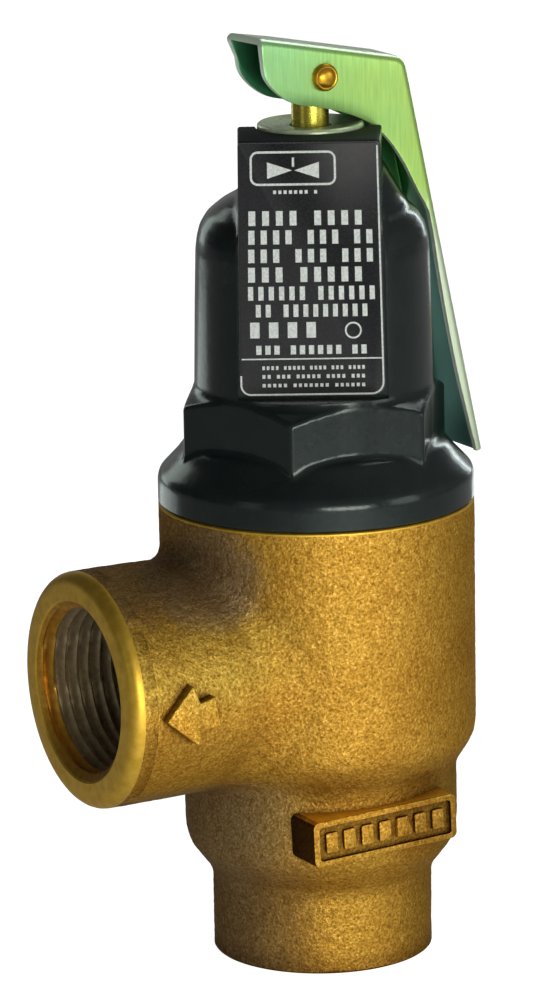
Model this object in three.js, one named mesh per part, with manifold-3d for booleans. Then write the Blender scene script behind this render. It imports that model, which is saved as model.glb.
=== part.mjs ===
// Angle-pattern pressure relief valve with a manual test lever.
// Millimetres, +Z up the valve axis. The outlet points along -X and the test
// lever hangs on the +X side. The origin is the centre of the footprint of the
// whole object at the level of the inlet's bottom face.
import * as THREE from 'three';
import { mergeVertices } from 'three/addons/utils/BufferGeometryUtils.js';
import Module from 'manifold-3d';

const wasm = await Module();
wasm.setup();

// --------------------------------------------------------- shared dimensions
const AXIS_X = 8.775;           // valve axis, from the footprint's centre
const FACETS = { small: 20, medium: 24, fine: 28, casting: 32, bore: 48 };
const GAP = 0.02;               // clearance between touching pieces

const RIM_R = 27.3;             // body and bonnet where they meet
const BODY_TOP = 80.5;
const BONNET_FLANGE_Z = 80.6;   // underside of the bonnet flange
const BONNET_LOW = 71.9;        // bottom of the bonnet's threaded spigot
const NECK_TOP = 145.4;

const SEAT_Z = 46.0;            // top of the nozzle lip
const LEDGE_Z = 70.0;           // ledge that carries the diaphragm
const DIAPHRAGM_R = 23.65;
const DIAPHRAGM_TOP = 71.2;     // at the clamped edge
const DIAPHRAGM_HUB_TOP = 67.2;
const DIAPHRAGM_PLATE_TOP = 68.8;
const CENTRE_HOLE_R = 3.15;     // hole in the diaphragm and its plate

const PIN_Z = 154.3;            // lever pivot
const PIN_R = 1.6;
const LEVER_HALF = 5.0;         // half width of the lever channel at its head

const SPRING_LOW = 78.0;
const SPRING_HIGH = 125.0;

// ------------------------------------------------------------------- helpers
const { degToRad, clamp } = THREE.MathUtils;

// Surface of revolution about +Z from [radius, z] points. A profile that starts
// on the axis also ends on it; any other is closed back to its first point.
function lathe(profile, facets = FACETS.casting) {
  const points = profile.map(([radius, z]) => new THREE.Vector2(radius, z));
  if (profile[0][0] > 0) points.push(points[0].clone());
  const geometry = new THREE.LatheGeometry(points, facets, Math.PI / facets);
  return geometry.rotateX(Math.PI / 2);       // lathe axis Y -> Z
}

function extrude(points, depth) {
  const shape = new THREE.Shape(points.map(([x, y]) => new THREE.Vector2(x, y)));
  return new THREE.ExtrudeGeometry(shape, { depth, bevelEnabled: false });
}

// Straight prism of a polygon of [x, z] points, from y0 to y1.
const prismY = (points, y0, y1) => extrude(points, y1 - y0)
  .rotateX(Math.PI / 2)         // (x, z, depth) -> (x, -depth, z)
  .translate(0, y1, 0);

// Straight prism of a polygon of [x, y] points, from z0 to z1.
const prismZ = (points, z0, z1) => extrude(points, z1 - z0).translate(0, 0, z0);

const rectangle = (x0, x1, y0, y1) => [[x0, y0], [x1, y0], [x1, y1], [x0, y1]];

// The first corner lies at `turn` degrees.
function hexagon(acrossFlats, turn) {
  const radius = acrossFlats / Math.sqrt(3);
  return [0, 1, 2, 3, 4, 5].map((k) => {
    const angle = degToRad(turn + 60 * k);
    return [radius * Math.cos(angle), radius * Math.sin(angle)];
  });
}

// Closed, outward-facing manifold solid of a three.js geometry.
function solid(source) {
  let geometry = source.clone();
  for (const name of Object.keys(geometry.attributes)) {
    if (name !== 'position') geometry.deleteAttribute(name);
  }
  geometry = mergeVertices(geometry, 1e-4);
  const position = geometry.attributes.position;
  const index = geometry.index.array;
  const corners = [new THREE.Vector3(), new THREE.Vector3(), new THREE.Vector3()];
  const triangles = [];
  let volume = 0;               // six times the signed volume
  for (let i = 0; i < index.length; i += 3) {
    const [u, v, w] = [index[i], index[i + 1], index[i + 2]];
    if (u === v || v === w || w === u) continue;      // collapsed at a pole
    triangles.push(u, v, w);
    const [a, b, c] = corners.map((p, k) => p.fromBufferAttribute(position, index[i + k]));
    volume += a.dot(b.cross(c));
  }
  if (volume < 0) {
    for (let i = 0; i < triangles.length; i += 3) {
      [triangles[i], triangles[i + 1]] = [triangles[i + 1], triangles[i]];
    }
  }
  return new wasm.Manifold(new wasm.Mesh({
    numProp: 3,
    vertProperties: new Float32Array(position.array),
    triVerts: new Uint32Array(triangles),
  }));
}

function toGeometry(manifold) {
  const mesh = manifold.getMesh();
  const geometry = new THREE.BufferGeometry();
  geometry.setAttribute('position', new THREE.Float32BufferAttribute(mesh.vertProperties, 3));
  geometry.setIndex(Array.from(mesh.triVerts));
  return geometry;
}

const turned = (profile, facets) => solid(lathe(profile, facets));

const ring = (innerR, outerR, z0, z1, facets = FACETS.small) => (
  turned([[innerR, z0], [outerR, z0], [outerR, z1], [innerR, z1]], facets)
);

// Turned solid on the pivot axis; profile z becomes +Y.
const turnedOnPivot = (profile, facets) => (
  solid(lathe(profile, facets).rotateX(-Math.PI / 2).translate(0, 0, PIN_Z))
);

function pivotHole(halfLength) {
  const radius = PIN_R + 0.06;
  return turnedOnPivot([
    [0, -halfLength], [radius, -halfLength], [radius, halfLength], [0, halfLength],
  ], FACETS.fine);
}

// ---------------------------------------------------------------------- body
const HUB_R = 19.1;             // inlet hub (3/4 inch female pipe socket)
const BELT_R = 23.7;            // belt above the hub
const DRUM_R = 27.2;
const INLET_BORE_R = 12.6;
const THROAT_R = 8.0;
const CHAMBER_R = 22.0;
const THREAD_R = 24.0;          // bonnet thread in the body

const OUTLET_Z = 52.6;          // outlet axis height
const OUTLET_REACH = 46.9;      // valve axis to outlet face
const OUTLET_R = 20.4;
const OUTLET_BORE_R = 15.5;     // 1 inch female pipe socket, mean of the taper

const TAG_HALF_WIDTH = 14.1;
const TAG_HALF_HEIGHT = 4.0;
const TAG_TILT = 2.2;           // degrees, +X end up

const BODY_PROFILE = [          // [radius, z]
  [0, 0], [18.5, 0], [HUB_R, 0.6], [HUB_R, 13.3], [19.6, 15.3], [21.3, 17.5], [22.9, 19.7],
  [23.55, 21.9], [BELT_R, 24.5], [BELT_R, 31.2], [24.2, 34.3], [25.6, 36.5], [26.8, 38.7],
  [DRUM_R, 41], [RIM_R, 79.9], [27.0, BODY_TOP], [0, BODY_TOP],
];

// Inlet socket, throat, raised nozzle, discharge chamber and bonnet thread.
const BODY_BORE = [             // [radius, z]
  [0, -1], [14.9, -1], [13.3, 0.6], [INLET_BORE_R, 18], [12.0, 19.5], [THROAT_R, 23.5],
  [THROAT_R, 45.4], [8.6, SEAT_Z], [9.6, SEAT_Z], [11.0, 44.4], [11.6, 38.6], [13.2, 37],
  [20, 37], [CHAMBER_R, 39], [CHAMBER_R, LEDGE_Z], [THREAD_R, LEDGE_Z], [THREAD_R, 79.6],
  [24.9, 81.5], [0, 81.5],
];

const OUTLET_PROFILE = [        // [radius, distance from the valve axis]
  [0, 0], [OUTLET_R, 0], [OUTLET_R, 45.6], [OUTLET_R - 0.35, 46.5],
  [OUTLET_R - 1.0, OUTLET_REACH], [0, OUTLET_REACH],
];

const OUTLET_BORE = [           // [radius, distance from the valve axis]
  [0, 12.5], [13.5, 12.5], [14.6, 20], [14.7, 22], [OUTLET_BORE_R, 44.9], [17.6, 47.5], [0, 47.5],
];

const FLOW_ARROW = [            // [x, z]
  [-41.9, 51.5], [-36.7, 57.2], [-35.4, 53.9], [-32.6, 54.7],
  [-31.5, 49.3], [-34.8, 49.1], [-35.9, 46.5],
];

// Turned solid on the outlet axis; profile z becomes -X.
const turnedOnOutlet = (profile) => (
  solid(lathe(profile, FACETS.medium).rotateY(-Math.PI / 2).translate(0, 0, OUTLET_Z))
);

// Raised plate on the -Y side of the belt.
function buildTag() {
  const face = rectangle(-TAG_HALF_WIDTH, TAG_HALF_WIDTH, -TAG_HALF_HEIGHT, TAG_HALF_HEIGHT);
  return solid(prismY(face, -25.5, -12)
    .rotateY(-degToRad(TAG_TILT))
    .translate(-1.8, 0, 27.0));
}

const buildBody = () => turned(BODY_PROFILE)
  .add(turnedOnOutlet(OUTLET_PROFILE))
  .add(solid(prismY(FLOW_ARROW, -21.2, -17)))
  .add(buildTag())
  .subtract(turned(BODY_BORE))
  .subtract(turnedOnOutlet(OUTLET_BORE));

// ---------------------------------------------------- bonnet and name plate
const HEX_ACROSS_FLATS = 41.3;  // 1-5/8 inch wrench hex
const HEX_TURN = 50.7;          // direction of one hex corner, degrees
const NECK_R = 12.6;
const PLATE_TURN = -30.3;       // degrees from facing -Y, negative towards -X
const PLATE_DISTANCE = 15.2;    // flat seat of the name plate, from the axis
const PLATE_THICKNESS = 0.5;
const PLATE_SEAT_LOW = 101.3;

const BONNET_PROFILE = [        // [radius, z]
  [0, BONNET_LOW], [23.7, BONNET_LOW], [23.7, BONNET_FLANGE_Z], [27.1, BONNET_FLANGE_Z],
  [RIM_R, 80.9], [RIM_R, 84.7], [27.0, 85.8], [24.2, 88.8], [22.7, 90.9], [20.4, 92],
  [20.6, 101.4], [20.3, 115.4], [20.0, 124.5], [19.74, 126.6], [19.2, 128.65], [17.95, 130.7],
  [15.44, 132.75], [13.2, 133.6], [NECK_R, 134.6], [NECK_R, 144.5], [11.7, NECK_TOP],
  [0, NECK_TOP],
];

// Diaphragm room, spring room, adjusting thread and washer counterbore.
const BONNET_BORE = [           // [radius, z]
  [0, 71], [19.2, 71], [19.2, 84], [12.7, 90.5], [12.7, 128.2], [8.0, 131.2], [8.0, 144.2],
  [9.25, 144.2], [9.25, 147], [0, 147],
];

// Cone and flange radius that trim the corners of the wrench hex.
const HEX_TRIM = [[0, 80], [24.6, 80], [24.6, 94.6], [20.6, 101.6], [0, 101.9]];

// In the plate's frame x runs across the plate, -Y faces out and z is up.
const turnToPlate = (geometry) => solid(geometry.rotateZ(degToRad(PLATE_TURN)));

function buildBonnet() {
  const hex = solid(prismZ(hexagon(HEX_ACROSS_FLATS, HEX_TURN), 86, 102))
    .intersect(turned(HEX_TRIM));
  const plateBlock = turnToPlate(
    prismZ(rectangle(-12.5, 12.5, -17, 0), PLATE_SEAT_LOW, NECK_TOP),
  );
  const plateSeatCut = turnToPlate(
    prismZ(rectangle(-30, 30, -40, -PLATE_DISTANCE), PLATE_SEAT_LOW, 150),
  );
  return turned(BONNET_PROFILE)
    .add(hex)
    .add(plateBlock)
    .subtract(plateSeatCut)
    .subtract(turned(BONNET_BORE, FACETS.bore));
}

// Square upper corners, rounded-off lower ones.
function buildNamePlate() {
  const [left, right, low, high] = [-12.3, 12.1, 101.6, 145.3];
  const corner = 2.2;
  const cornerMid = 0.6;
  const outline = [
    [left + corner, low], [right - corner, low], [right - cornerMid, low + cornerMid],
    [right, low + corner], [right, high], [left, high],
    [left, low + corner], [left + cornerMid, low + cornerMid],
  ];
  const back = -PLATE_DISTANCE - GAP;
  return turnToPlate(prismY(outline, -PLATE_DISTANCE - PLATE_THICKNESS, back));
}

// ------------------------------------------------------------- spring column
const COILS = 8;
const STEPS_PER_COIL = 11;
const SPRING_MEAN_R = 10.2;
const WIRE_R = 2.0;
const GROUND_OFF = 0.9;         // taken off the wire at each end
const CLOSED_PITCH = 2 * WIRE_R + 0.25;
const CENTRE_RISE = SPRING_HIGH - SPRING_LOW - 2 * WIRE_R + 2 * GROUND_OFF;
const OPEN_PITCH = (CENTRE_RISE - 2 * CLOSED_PITCH) / (COILS - 2);

const BUTTON_R = 12.2;
const PILOT_R = 7.8;            // part of each button inside the spring
const PILOT_NOSE_R = 6.9;

const STEM_R = 3.2;
const STEM_HEAD_R = 3.32;
const STEM_GROOVE_R = 2.5;
const STEM_GROOVE_Z = [75.7, 77.0];

// Centre line of a coil spring whose first and last turns are closed.
class CoilCurve extends THREE.Curve {
  getPoint(u, target = new THREE.Vector3()) {
    const turns = u * COILS;
    const openTurns = clamp(turns, 1, COILS - 1) - 1;
    const rise = (turns - openTurns) * CLOSED_PITCH + openTurns * OPEN_PITCH;
    const angle = 2 * Math.PI * turns;
    return target.set(
      SPRING_MEAN_R * Math.cos(angle),
      SPRING_MEAN_R * Math.sin(angle),
      SPRING_LOW + WIRE_R - GROUND_OFF + rise,
    );
  }
}

function buildSpring() {
  const wire = new THREE.Shape();
  wire.absarc(0, 0, WIRE_R, 0, 2 * Math.PI);
  const coil = new THREE.ExtrudeGeometry(wire, {
    steps: COILS * STEPS_PER_COIL,
    curveSegments: 3,
    bevelEnabled: false,
    extrudePath: new CoilCurve(),
  });
  // both ends ground flat
  const endFaces = ring(5, 15, SPRING_LOW + 0.03, SPRING_HIGH - 0.03, FACETS.casting);
  return solid(coil).intersect(endFaces);
}

function buildAdjustingScrew() {
  const slot = solid(prismZ(rectangle(-10, 10, -1.1, 1.1), 141.6, 145));
  return turned([
    [3.5, 129.0], [5.2, 129.0], [7.9, 131.4], [7.9, 142.6], [7.3, 143.2], [3.5, 143.2],
  ], FACETS.small).subtract(slot);
}

const buildUpperButton = () => turned([
  [3.6, 120.8], [PILOT_NOSE_R, 120.8], [PILOT_R, 121.8], [PILOT_R, SPRING_HIGH],
  [BUTTON_R, SPRING_HIGH], [BUTTON_R, 127.2], [6.4, 128.95], [3.6, 128.95],
], FACETS.small);

const buildLowerButton = () => turned([
  [5.3, 72.6], [8.2, 72.6], [9.6, 75.6], [BUTTON_R, 75.9], [BUTTON_R, SPRING_LOW],
  [PILOT_R, SPRING_LOW], [PILOT_R, 82.6], [PILOT_NOSE_R, 83.6], [3.3, 83.6], [3.3, 77.2],
  [5.3, 77.2],
], FACETS.small);

// Long shank with a retaining-ring groove and a rounded head round the pivot.
function buildStem() {
  const head = [1, 2, 3, 4, 5].map((i) => {
    const angle = (i / 5) * (Math.PI / 2) * 0.92 + 0.13;
    return [STEM_HEAD_R * Math.cos(angle), PIN_Z + STEM_HEAD_R * Math.sin(angle)];
  });
  const [grooveLow, grooveHigh] = STEM_GROOVE_Z;
  return turned([
    [0, 73.7], [2.7, 73.7], [STEM_R, 74.2], [STEM_R, grooveLow], [STEM_GROOVE_R, grooveLow],
    [STEM_GROOVE_R, grooveHigh], [STEM_R, grooveHigh], [STEM_R, PIN_Z], ...head,
    [0, PIN_Z + STEM_HEAD_R],
  ], FACETS.small).subtract(pivotHole(10));
}

function buildStemRing() {
  const [grooveLow, grooveHigh] = STEM_GROOVE_Z;
  return ring(STEM_GROOVE_R + 0.05, 4.9, grooveLow + 0.1, grooveHigh - 0.1, FACETS.fine);
}

const buildBearingWasher = () => turned([
  [3.6, 144.24], [9.1, 144.24], [9.1, 145.6], [8.7, 146.0], [4.2, 146.0], [3.6, 145.7],
], FACETS.small);

// -------------------------------------------------------- diaphragm and disc
const buildSlipRing = () => ring(19.3, DIAPHRAGM_R, DIAPHRAGM_TOP + GAP, BONNET_LOW - GAP);

const buildDiaphragm = () => turned([
  [CENTRE_HOLE_R, 66.05], [10.4, 66.05], [11.6, 66.6], [16.6, 69.3], [17.9, LEDGE_Z + GAP],
  [DIAPHRAGM_R, LEDGE_Z + GAP], [DIAPHRAGM_R, DIAPHRAGM_TOP], [17.6, DIAPHRAGM_TOP],
  [16.2, 70.6], [11.2, 67.9], [10.2, DIAPHRAGM_HUB_TOP], [CENTRE_HOLE_R, DIAPHRAGM_HUB_TOP],
]);

const buildDiaphragmPlate = () => turned([
  [CENTRE_HOLE_R, DIAPHRAGM_HUB_TOP + GAP], [9.6, DIAPHRAGM_HUB_TOP + GAP], [10.4, 67.9],
  [10.0, DIAPHRAGM_PLATE_TOP], [CENTRE_HOLE_R, DIAPHRAGM_PLATE_TOP],
], FACETS.small);

function buildDiaphragmNut() {
  const hole = turned([[0, 60], [3.12, 60], [3.12, 80], [0, 80]], FACETS.fine);
  return solid(prismZ(hexagon(14.2, 15), DIAPHRAGM_PLATE_TOP + GAP, 72.5)).subtract(hole);
}

const buildDiscHolder = () => turned([
  [0, 57.2], [1.72, 56.2], [1.72, 48.66], [10.75, 48.66], [10.75, 46.7], [12.2, 46.7],
  [12.2, 51.2], [11.2, 52.4], [5.6, 54.8], [5.0, 56.4], [5.0, 62.4], [6.0, 63.6],
  [9.4, 64.2], [9.8, 65.2], [9.8, 66.02], [3.05, 66.02], [3.05, 73.0], [2.6, 73.5], [0, 73.5],
], FACETS.small);

const buildSeatDisc = () => ring(2.1, 10.6, SEAT_Z + GAP, 48.62, FACETS.medium);

const buildDiscWasher = () => ring(1.8, 4.8, 44.98, SEAT_Z, FACETS.casting);

function buildDiscScrew() {
  const slot = solid(prismZ(rectangle(-5, 5, -0.4, 0.4), 42, 43.7));
  return turned([
    [0, 42.9], [2.6, 42.9], [3.1, 43.5], [3.1, 44.95], [1.62, 44.95], [1.62, 55.6],
    [1.1, 56.1], [0, 56.1],
  ], FACETS.small).subtract(slot);
}

// --------------------------------------------------------------------- lever
const LEVER_FLARE = 1.4;        // width factor at the handle's tip
const SHEET = 1.2;

// Corners of the folded sheet's outer face, [x, z].
const HEAD_END = [-12.1, 161.6];
const BEND = [15.9, 155.9];
const KNEE = [20.95, 131.8];
const TIP = [29.35, 86.4];

const LEVER_OUTLINE = [         // [x, z], down the outer face and back up the cheek's edge
  [HEAD_END[0] + 0.2, HEAD_END[1]],
  [BEND[0] - 1.0, BEND[1] + 0.2], [BEND[0] - 0.25, BEND[1] - 0.35], [BEND[0] + 0.2, BEND[1] - 1.2],
  KNEE, TIP, [28.3, 86.0], [27.5, 87.0], [27.2, 88.6], [26.1, 93.7], [24.7, 99.6],
  [23.1, 108.3], [21.9, 115.5], [21.0, 122.7], [20.85, 126.0], [20.5, 128.6], [19.9, 130.3],
  [18.9, 131.9], [17.9, 133.3], [16.9, 135.2], [15.5, 137.9], [14.0, 140.6], [13.2, 143.0],
  [12.7, 144.7], [11.3, 145.75], [9.3, 146.1], [7.3, 146.7], [5.3, 147.5], [3.2, 148.2],
  [1.0, 148.7], [-2.4, 149.6], [-5.0, 150.0], [-6.5, 150.5], [-8.0, 151.5], [-9.7, 152.8],
  [-11.3, 154.0], [-12.0, 155.1], [-12.2, 156.4],
];

// Line from one point towards another, moved one sheet thickness to its right.
function innerLine(from, to) {
  const direction = new THREE.Vector2(to[0] - from[0], to[1] - from[1]).normalize();
  const shift = new THREE.Vector2(direction.y, -direction.x).multiplyScalar(SHEET);
  return { start: new THREE.Vector2(...from).add(shift), direction };
}

const pointAlong = ({ start, direction }, distance) => (
  start.clone().addScaledVector(direction, distance).toArray()
);

function crossing(first, second) {
  const between = second.start.clone().sub(first.start);
  const distance = between.cross(second.direction) / first.direction.cross(second.direction);
  return pointAlong(first, distance);
}

// Everything under the web, [x, z].
function channelOutline() {
  const top = innerLine(HEAD_END, [BEND[0] - 0.6, BEND[1] + 0.12]);
  const upper = innerLine(BEND, KNEE);
  const handle = innerLine(KNEE, TIP);
  const topEnd = pointAlong(top, -6);
  return [
    topEnd, crossing(top, upper), crossing(upper, handle), pointAlong(handle, 60),
    [-40, 60], [-40, topEnd[1]],
  ];
}

// Widens the handle evenly from the knee to the tip.
function flareHandle(geometry) {
  const position = geometry.attributes.position;
  for (let i = 0; i < position.count; i++) {
    const drop = KNEE[1] - position.getZ(i);
    if (drop <= 0) continue;
    const widening = ((LEVER_FLARE - 1) * drop) / (KNEE[1] - TIP[1]);
    position.setY(i, position.getY(i) * (1 + widening));
  }
  return geometry;
}

function buildLever() {
  const cheekInside = LEVER_HALF - SHEET;
  const lever = solid(prismY(LEVER_OUTLINE, -LEVER_HALF, LEVER_HALF))
    .subtract(solid(prismY(channelOutline(), -cheekInside, cheekInside)))
    .subtract(pivotHole(20));
  return solid(flareHandle(toGeometry(lever)));
}

function buildLeverPin() {
  const shoulder = LEVER_HALF + 0.04;
  return turnedOnPivot([
    [0, -6.35], [1.2, -6.25], [2.0, -5.85], [2.35, -5.25], [2.35, -shoulder],
    [PIN_R, -shoulder], [PIN_R, shoulder], [2.2, shoulder], [2.1, 5.5], [1.4, 5.85], [0, 5.95],
  ], FACETS.medium);
}

// ------------------------------------------------------------------ finishes
const FINISHES = {
  castBronze: { color: 0xa8762f, metalness: 0.75, roughness: 0.55 },
  glossBlack: { color: 0x14181a, metalness: 0.2, roughness: 0.3 },
  plateBlack: { color: 0x16171c, metalness: 0.3, roughness: 0.4 },
  paleMetal: { color: 0xd8d6c4, metalness: 0.9, roughness: 0.25 },
  screwBrass: { color: 0xb8923a, metalness: 0.9, roughness: 0.3 },
  stemBrass: { color: 0xc49a35, metalness: 0.9, roughness: 0.25 },
  innerBrass: { color: 0xb08a3c, metalness: 0.9, roughness: 0.35 },
  satinSteel: { color: 0x9a9c9e, metalness: 0.9, roughness: 0.35 },
  brightSteel: { color: 0x9a9c9e, metalness: 0.9, roughness: 0.3 },
  springSteel: { color: 0x77797c, metalness: 0.9, roughness: 0.3 },
  darkSteel: { color: 0x6c6f73, metalness: 0.9, roughness: 0.35 },
  lightSteel: { color: 0xb5b8bb, metalness: 0.9, roughness: 0.3 },
  diaphragmRubber: { color: 0x22201f, metalness: 0.0, roughness: 0.8 },
  discRubber: { color: 0x2b2624, metalness: 0.0, roughness: 0.7 },
  leverGreen: { color: 0x9be07a, metalness: 0.6, roughness: 0.35 },
};

// ------------------------------------------------------------------ assembly
const valve = new THREE.Group();
valve.position.set(AXIS_X, 0, 0);

function add(name, piece, finish) {
  const geometry = toGeometry(piece);
  geometry.computeVertexNormals();
  const mesh = new THREE.Mesh(geometry, new THREE.MeshStandardMaterial(FINISHES[finish]));
  mesh.name = name;
  valve.add(mesh);
}

add('body', buildBody(), 'castBronze');
add('bonnet', buildBonnet(), 'glossBlack');
add('name_plate', buildNamePlate(), 'plateBlack');
add('bearing_washer', buildBearingWasher(), 'paleMetal');
add('adjusting_screw', buildAdjustingScrew(), 'screwBrass');
add('upper_spring_button', buildUpperButton(), 'satinSteel');
add('spring', buildSpring(), 'springSteel');
add('lower_spring_button', buildLowerButton(), 'satinSteel');
add('stem', buildStem(), 'stemBrass');
add('stem_retaining_ring', buildStemRing(), 'darkSteel');
add('slip_ring', buildSlipRing(), 'lightSteel');
add('diaphragm', buildDiaphragm(), 'diaphragmRubber');
add('diaphragm_plate', buildDiaphragmPlate(), 'innerBrass');
add('diaphragm_nut', buildDiaphragmNut(), 'innerBrass');
add('disc_holder', buildDiscHolder(), 'innerBrass');
add('seat_disc', buildSeatDisc(), 'discRubber');
add('disc_washer', buildDiscWasher(), 'brightSteel');
add('disc_screw', buildDiscScrew(), 'brightSteel');
add('lever_pin', buildLeverPin(), 'stemBrass');
add('lever', buildLever(), 'leverGreen');

export default valve;
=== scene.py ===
# Angle-pattern pressure relief valve with a test lever.
# The valve axis is vertical. The threaded inlet is at the bottom, z = 0, and the threaded outlet
# points along -x. The name plate is on the -y side, turned a little towards -x.
# Lengths are millimetres from the valve axis (x = y = 0). make_object scales them to metres
# and moves them to the row of CAD pieces.

import math

import bmesh
import bpy
import numpy as np
from mathutils import Matrix, Vector, noise


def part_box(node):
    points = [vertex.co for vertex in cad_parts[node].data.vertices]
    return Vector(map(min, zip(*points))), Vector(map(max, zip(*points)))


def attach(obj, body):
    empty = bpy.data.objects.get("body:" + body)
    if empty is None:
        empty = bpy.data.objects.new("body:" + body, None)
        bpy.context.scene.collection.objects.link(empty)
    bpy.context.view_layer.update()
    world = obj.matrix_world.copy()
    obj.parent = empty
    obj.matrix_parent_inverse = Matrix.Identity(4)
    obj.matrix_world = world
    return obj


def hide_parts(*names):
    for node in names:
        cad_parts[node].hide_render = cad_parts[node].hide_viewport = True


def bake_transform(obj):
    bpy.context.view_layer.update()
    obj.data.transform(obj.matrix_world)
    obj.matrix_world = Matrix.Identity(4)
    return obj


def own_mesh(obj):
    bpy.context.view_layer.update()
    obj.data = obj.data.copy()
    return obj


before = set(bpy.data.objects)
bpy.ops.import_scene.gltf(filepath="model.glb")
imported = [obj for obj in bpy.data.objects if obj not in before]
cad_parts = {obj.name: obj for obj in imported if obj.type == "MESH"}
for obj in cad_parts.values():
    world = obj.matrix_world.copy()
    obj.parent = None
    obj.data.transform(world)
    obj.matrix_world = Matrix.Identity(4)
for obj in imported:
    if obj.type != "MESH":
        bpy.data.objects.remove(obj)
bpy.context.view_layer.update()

MM = 0.001
washer_low, washer_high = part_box("bearing_washer")
AXIS_X = (washer_low.x + washer_high.x) / 2 * 1000.0    # valve axis in the CAD's row
AXIS_Y = (washer_low.y + washer_high.y) / 2 * 1000.0
AXIS = np.array([AXIS_X, AXIS_Y, 0.0])

OUTLET_Z = 52.6         # height of the outlet's axis
OUTLET_END = 47.3       # reach of the outlet along -x
PIN_Z = 154.3           # height of the lever pin
HEX_HALF = 41.6 / 2     # half the width across the bonnet hexagon's flats


# --------------------------------------------------------------- mesh helpers
# A shape is a pair: vertices and faces.

def unit(vector):
    return vector / np.linalg.norm(vector)


def read_vectors(items, name):
    data = np.empty(len(items) * 3)
    items.foreach_get(name, data)
    return data.reshape(-1, 3)


def link_mesh(name, mesh):
    piece = bpy.data.objects.new(name, mesh)
    bpy.context.scene.collection.objects.link(piece)
    return piece


def make_object(name, shape):
    """Object with outward normals from a shape in the valve's frame."""
    verts, faces = shape
    mesh = bpy.data.meshes.new(name)
    placed = (np.asarray(verts, float) + AXIS) * MM
    mesh.from_pydata(placed.tolist(), [], [list(map(int, face)) for face in faces])
    mesh.validate()
    mesh.update()
    piece = link_mesh(name, mesh)
    work = bmesh.new()
    work.from_mesh(mesh)
    bmesh.ops.recalc_face_normals(work, faces=work.faces)
    if work.calc_volume(signed=True) < 0:
        bmesh.ops.reverse_faces(work, faces=work.faces)
    work.to_mesh(mesh)
    work.free()
    return piece


def shade(piece, angle):
    """Smooth shading with edges sharper than angle, in degrees, kept sharp."""
    mesh = piece.data
    mesh.polygons.foreach_set("use_smooth", [True] * len(mesh.polygons))
    mesh.set_sharp_from_angle(angle=math.radians(angle))
    mesh.update()


def rounded(profile):
    """Closed outline of (a, b) or (a, b, fillet) points; filleted corners become arcs."""
    points, count = [], len(profile)
    for i, point in enumerate(profile):
        if len(point) < 3:
            points.append((point[0], point[1]))
            continue
        corner = np.array(point[:2], float)
        back = np.array(profile[(i - 1) % count][:2], float) - corner
        ahead = np.array(profile[(i + 1) % count][:2], float) - corner
        back_length, ahead_length = np.linalg.norm(back), np.linalg.norm(ahead)
        back, ahead = back / back_length, ahead / ahead_length
        half = math.acos(max(-1, min(1, float(back @ ahead)))) / 2
        reach = min(point[2] / math.tan(half), back_length * 0.49, ahead_length * 0.49)
        radius = reach * math.tan(half)
        centre = corner + (back + ahead) / np.linalg.norm(back + ahead) * radius / math.sin(half)
        start = math.atan2(*(corner + back * reach - centre)[::-1])
        end = math.atan2(*(corner + ahead * reach - centre)[::-1])
        sweep = (end - start + math.pi) % (2 * math.pi) - math.pi
        steps = max(3, int(abs(sweep) / math.radians(18)) + 1)
        for j in range(steps + 1):
            turn = start + sweep * j / steps
            points.append((centre[0] + radius * math.cos(turn),
                           centre[1] + radius * math.sin(turn)))
    return points


def round_polygon(points, radius):
    return rounded([(*point, radius) for point in points])


def rectangle(left, low, right, high, radius=None):
    points = [(left, low), (right, low), (right, high), (left, high)]
    return round_polygon(points, radius) if radius else points


def revolve(profile, around=96):
    """Solid turned about the z axis from a closed (radius, z, fillet) profile."""
    verts, rows = [], []
    angles = np.linspace(0, 2 * math.pi, around, endpoint=False)
    for radius, z in rounded(profile):
        if radius < 1e-6:
            rows.append([len(verts)])
            verts.append((0, 0, z))
        else:
            rows.append(list(range(len(verts), len(verts) + around)))
            verts += [(radius * math.cos(a), radius * math.sin(a), z) for a in angles]
    faces = []
    for row, above in zip(rows, rows[1:] + rows[:1]):
        if len(row) == 1 and len(above) == 1:
            continue
        for k in range(around):
            here, beside = row[k % len(row)], row[(k + 1) % len(row)]
            up, up_beside = above[k % len(above)], above[(k + 1) % len(above)]
            if len(row) == 1:
                faces.append((here, up_beside, up))
            elif len(above) == 1:
                faces.append((here, beside, up))
            else:
                faces.append((here, beside, up_beside, up))
    return np.array(verts, float), faces


def to_outlet(shape):
    """Turns a shape's +z axis onto the outlet's axis, along -x."""
    verts, faces = shape
    return np.stack([-verts[:, 2], verts[:, 1], verts[:, 0] + OUTLET_Z], 1), faces


def to_pin(shape):
    """Turns a shape's +z axis onto the lever pin's axis, along +y."""
    verts, faces = shape
    return np.stack([verts[:, 0], verts[:, 2], PIN_Z - verts[:, 1]], 1), faces


def prism(points, low, high, along="y"):
    """Straight prism of an xz outline along y, or of an xy outline along z."""
    count = len(points)
    verts = [(a, depth, b) if along == "y" else (a, b, depth)
             for depth in (low, high) for a, b in points]
    faces = [tuple(range(count)), tuple(range(2 * count - 1, count - 1, -1))]
    faces += [(i, i + count, (i + 1) % count + count, (i + 1) % count) for i in range(count)]
    return np.array(verts, float), faces


def sweep_sections(sections, ends="cap"):
    """Tube through equal closed sections. ends: cap, loop (last joins first) or open."""
    count, size = len(sections), len(sections[0])
    faces = []
    for i in range(count if ends == "loop" else count - 1):
        here, ahead = i * size, (i + 1) % count * size
        for k in range(size):
            beside = (k + 1) % size
            faces.append((here + k, here + beside, ahead + beside, ahead + k))
    if ends == "cap":
        faces.append(tuple(range(size))[::-1])
        faces.append(tuple((count - 1) * size + k for k in range(size)))
    return np.array([point for section in sections for point in section]), faces


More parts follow.
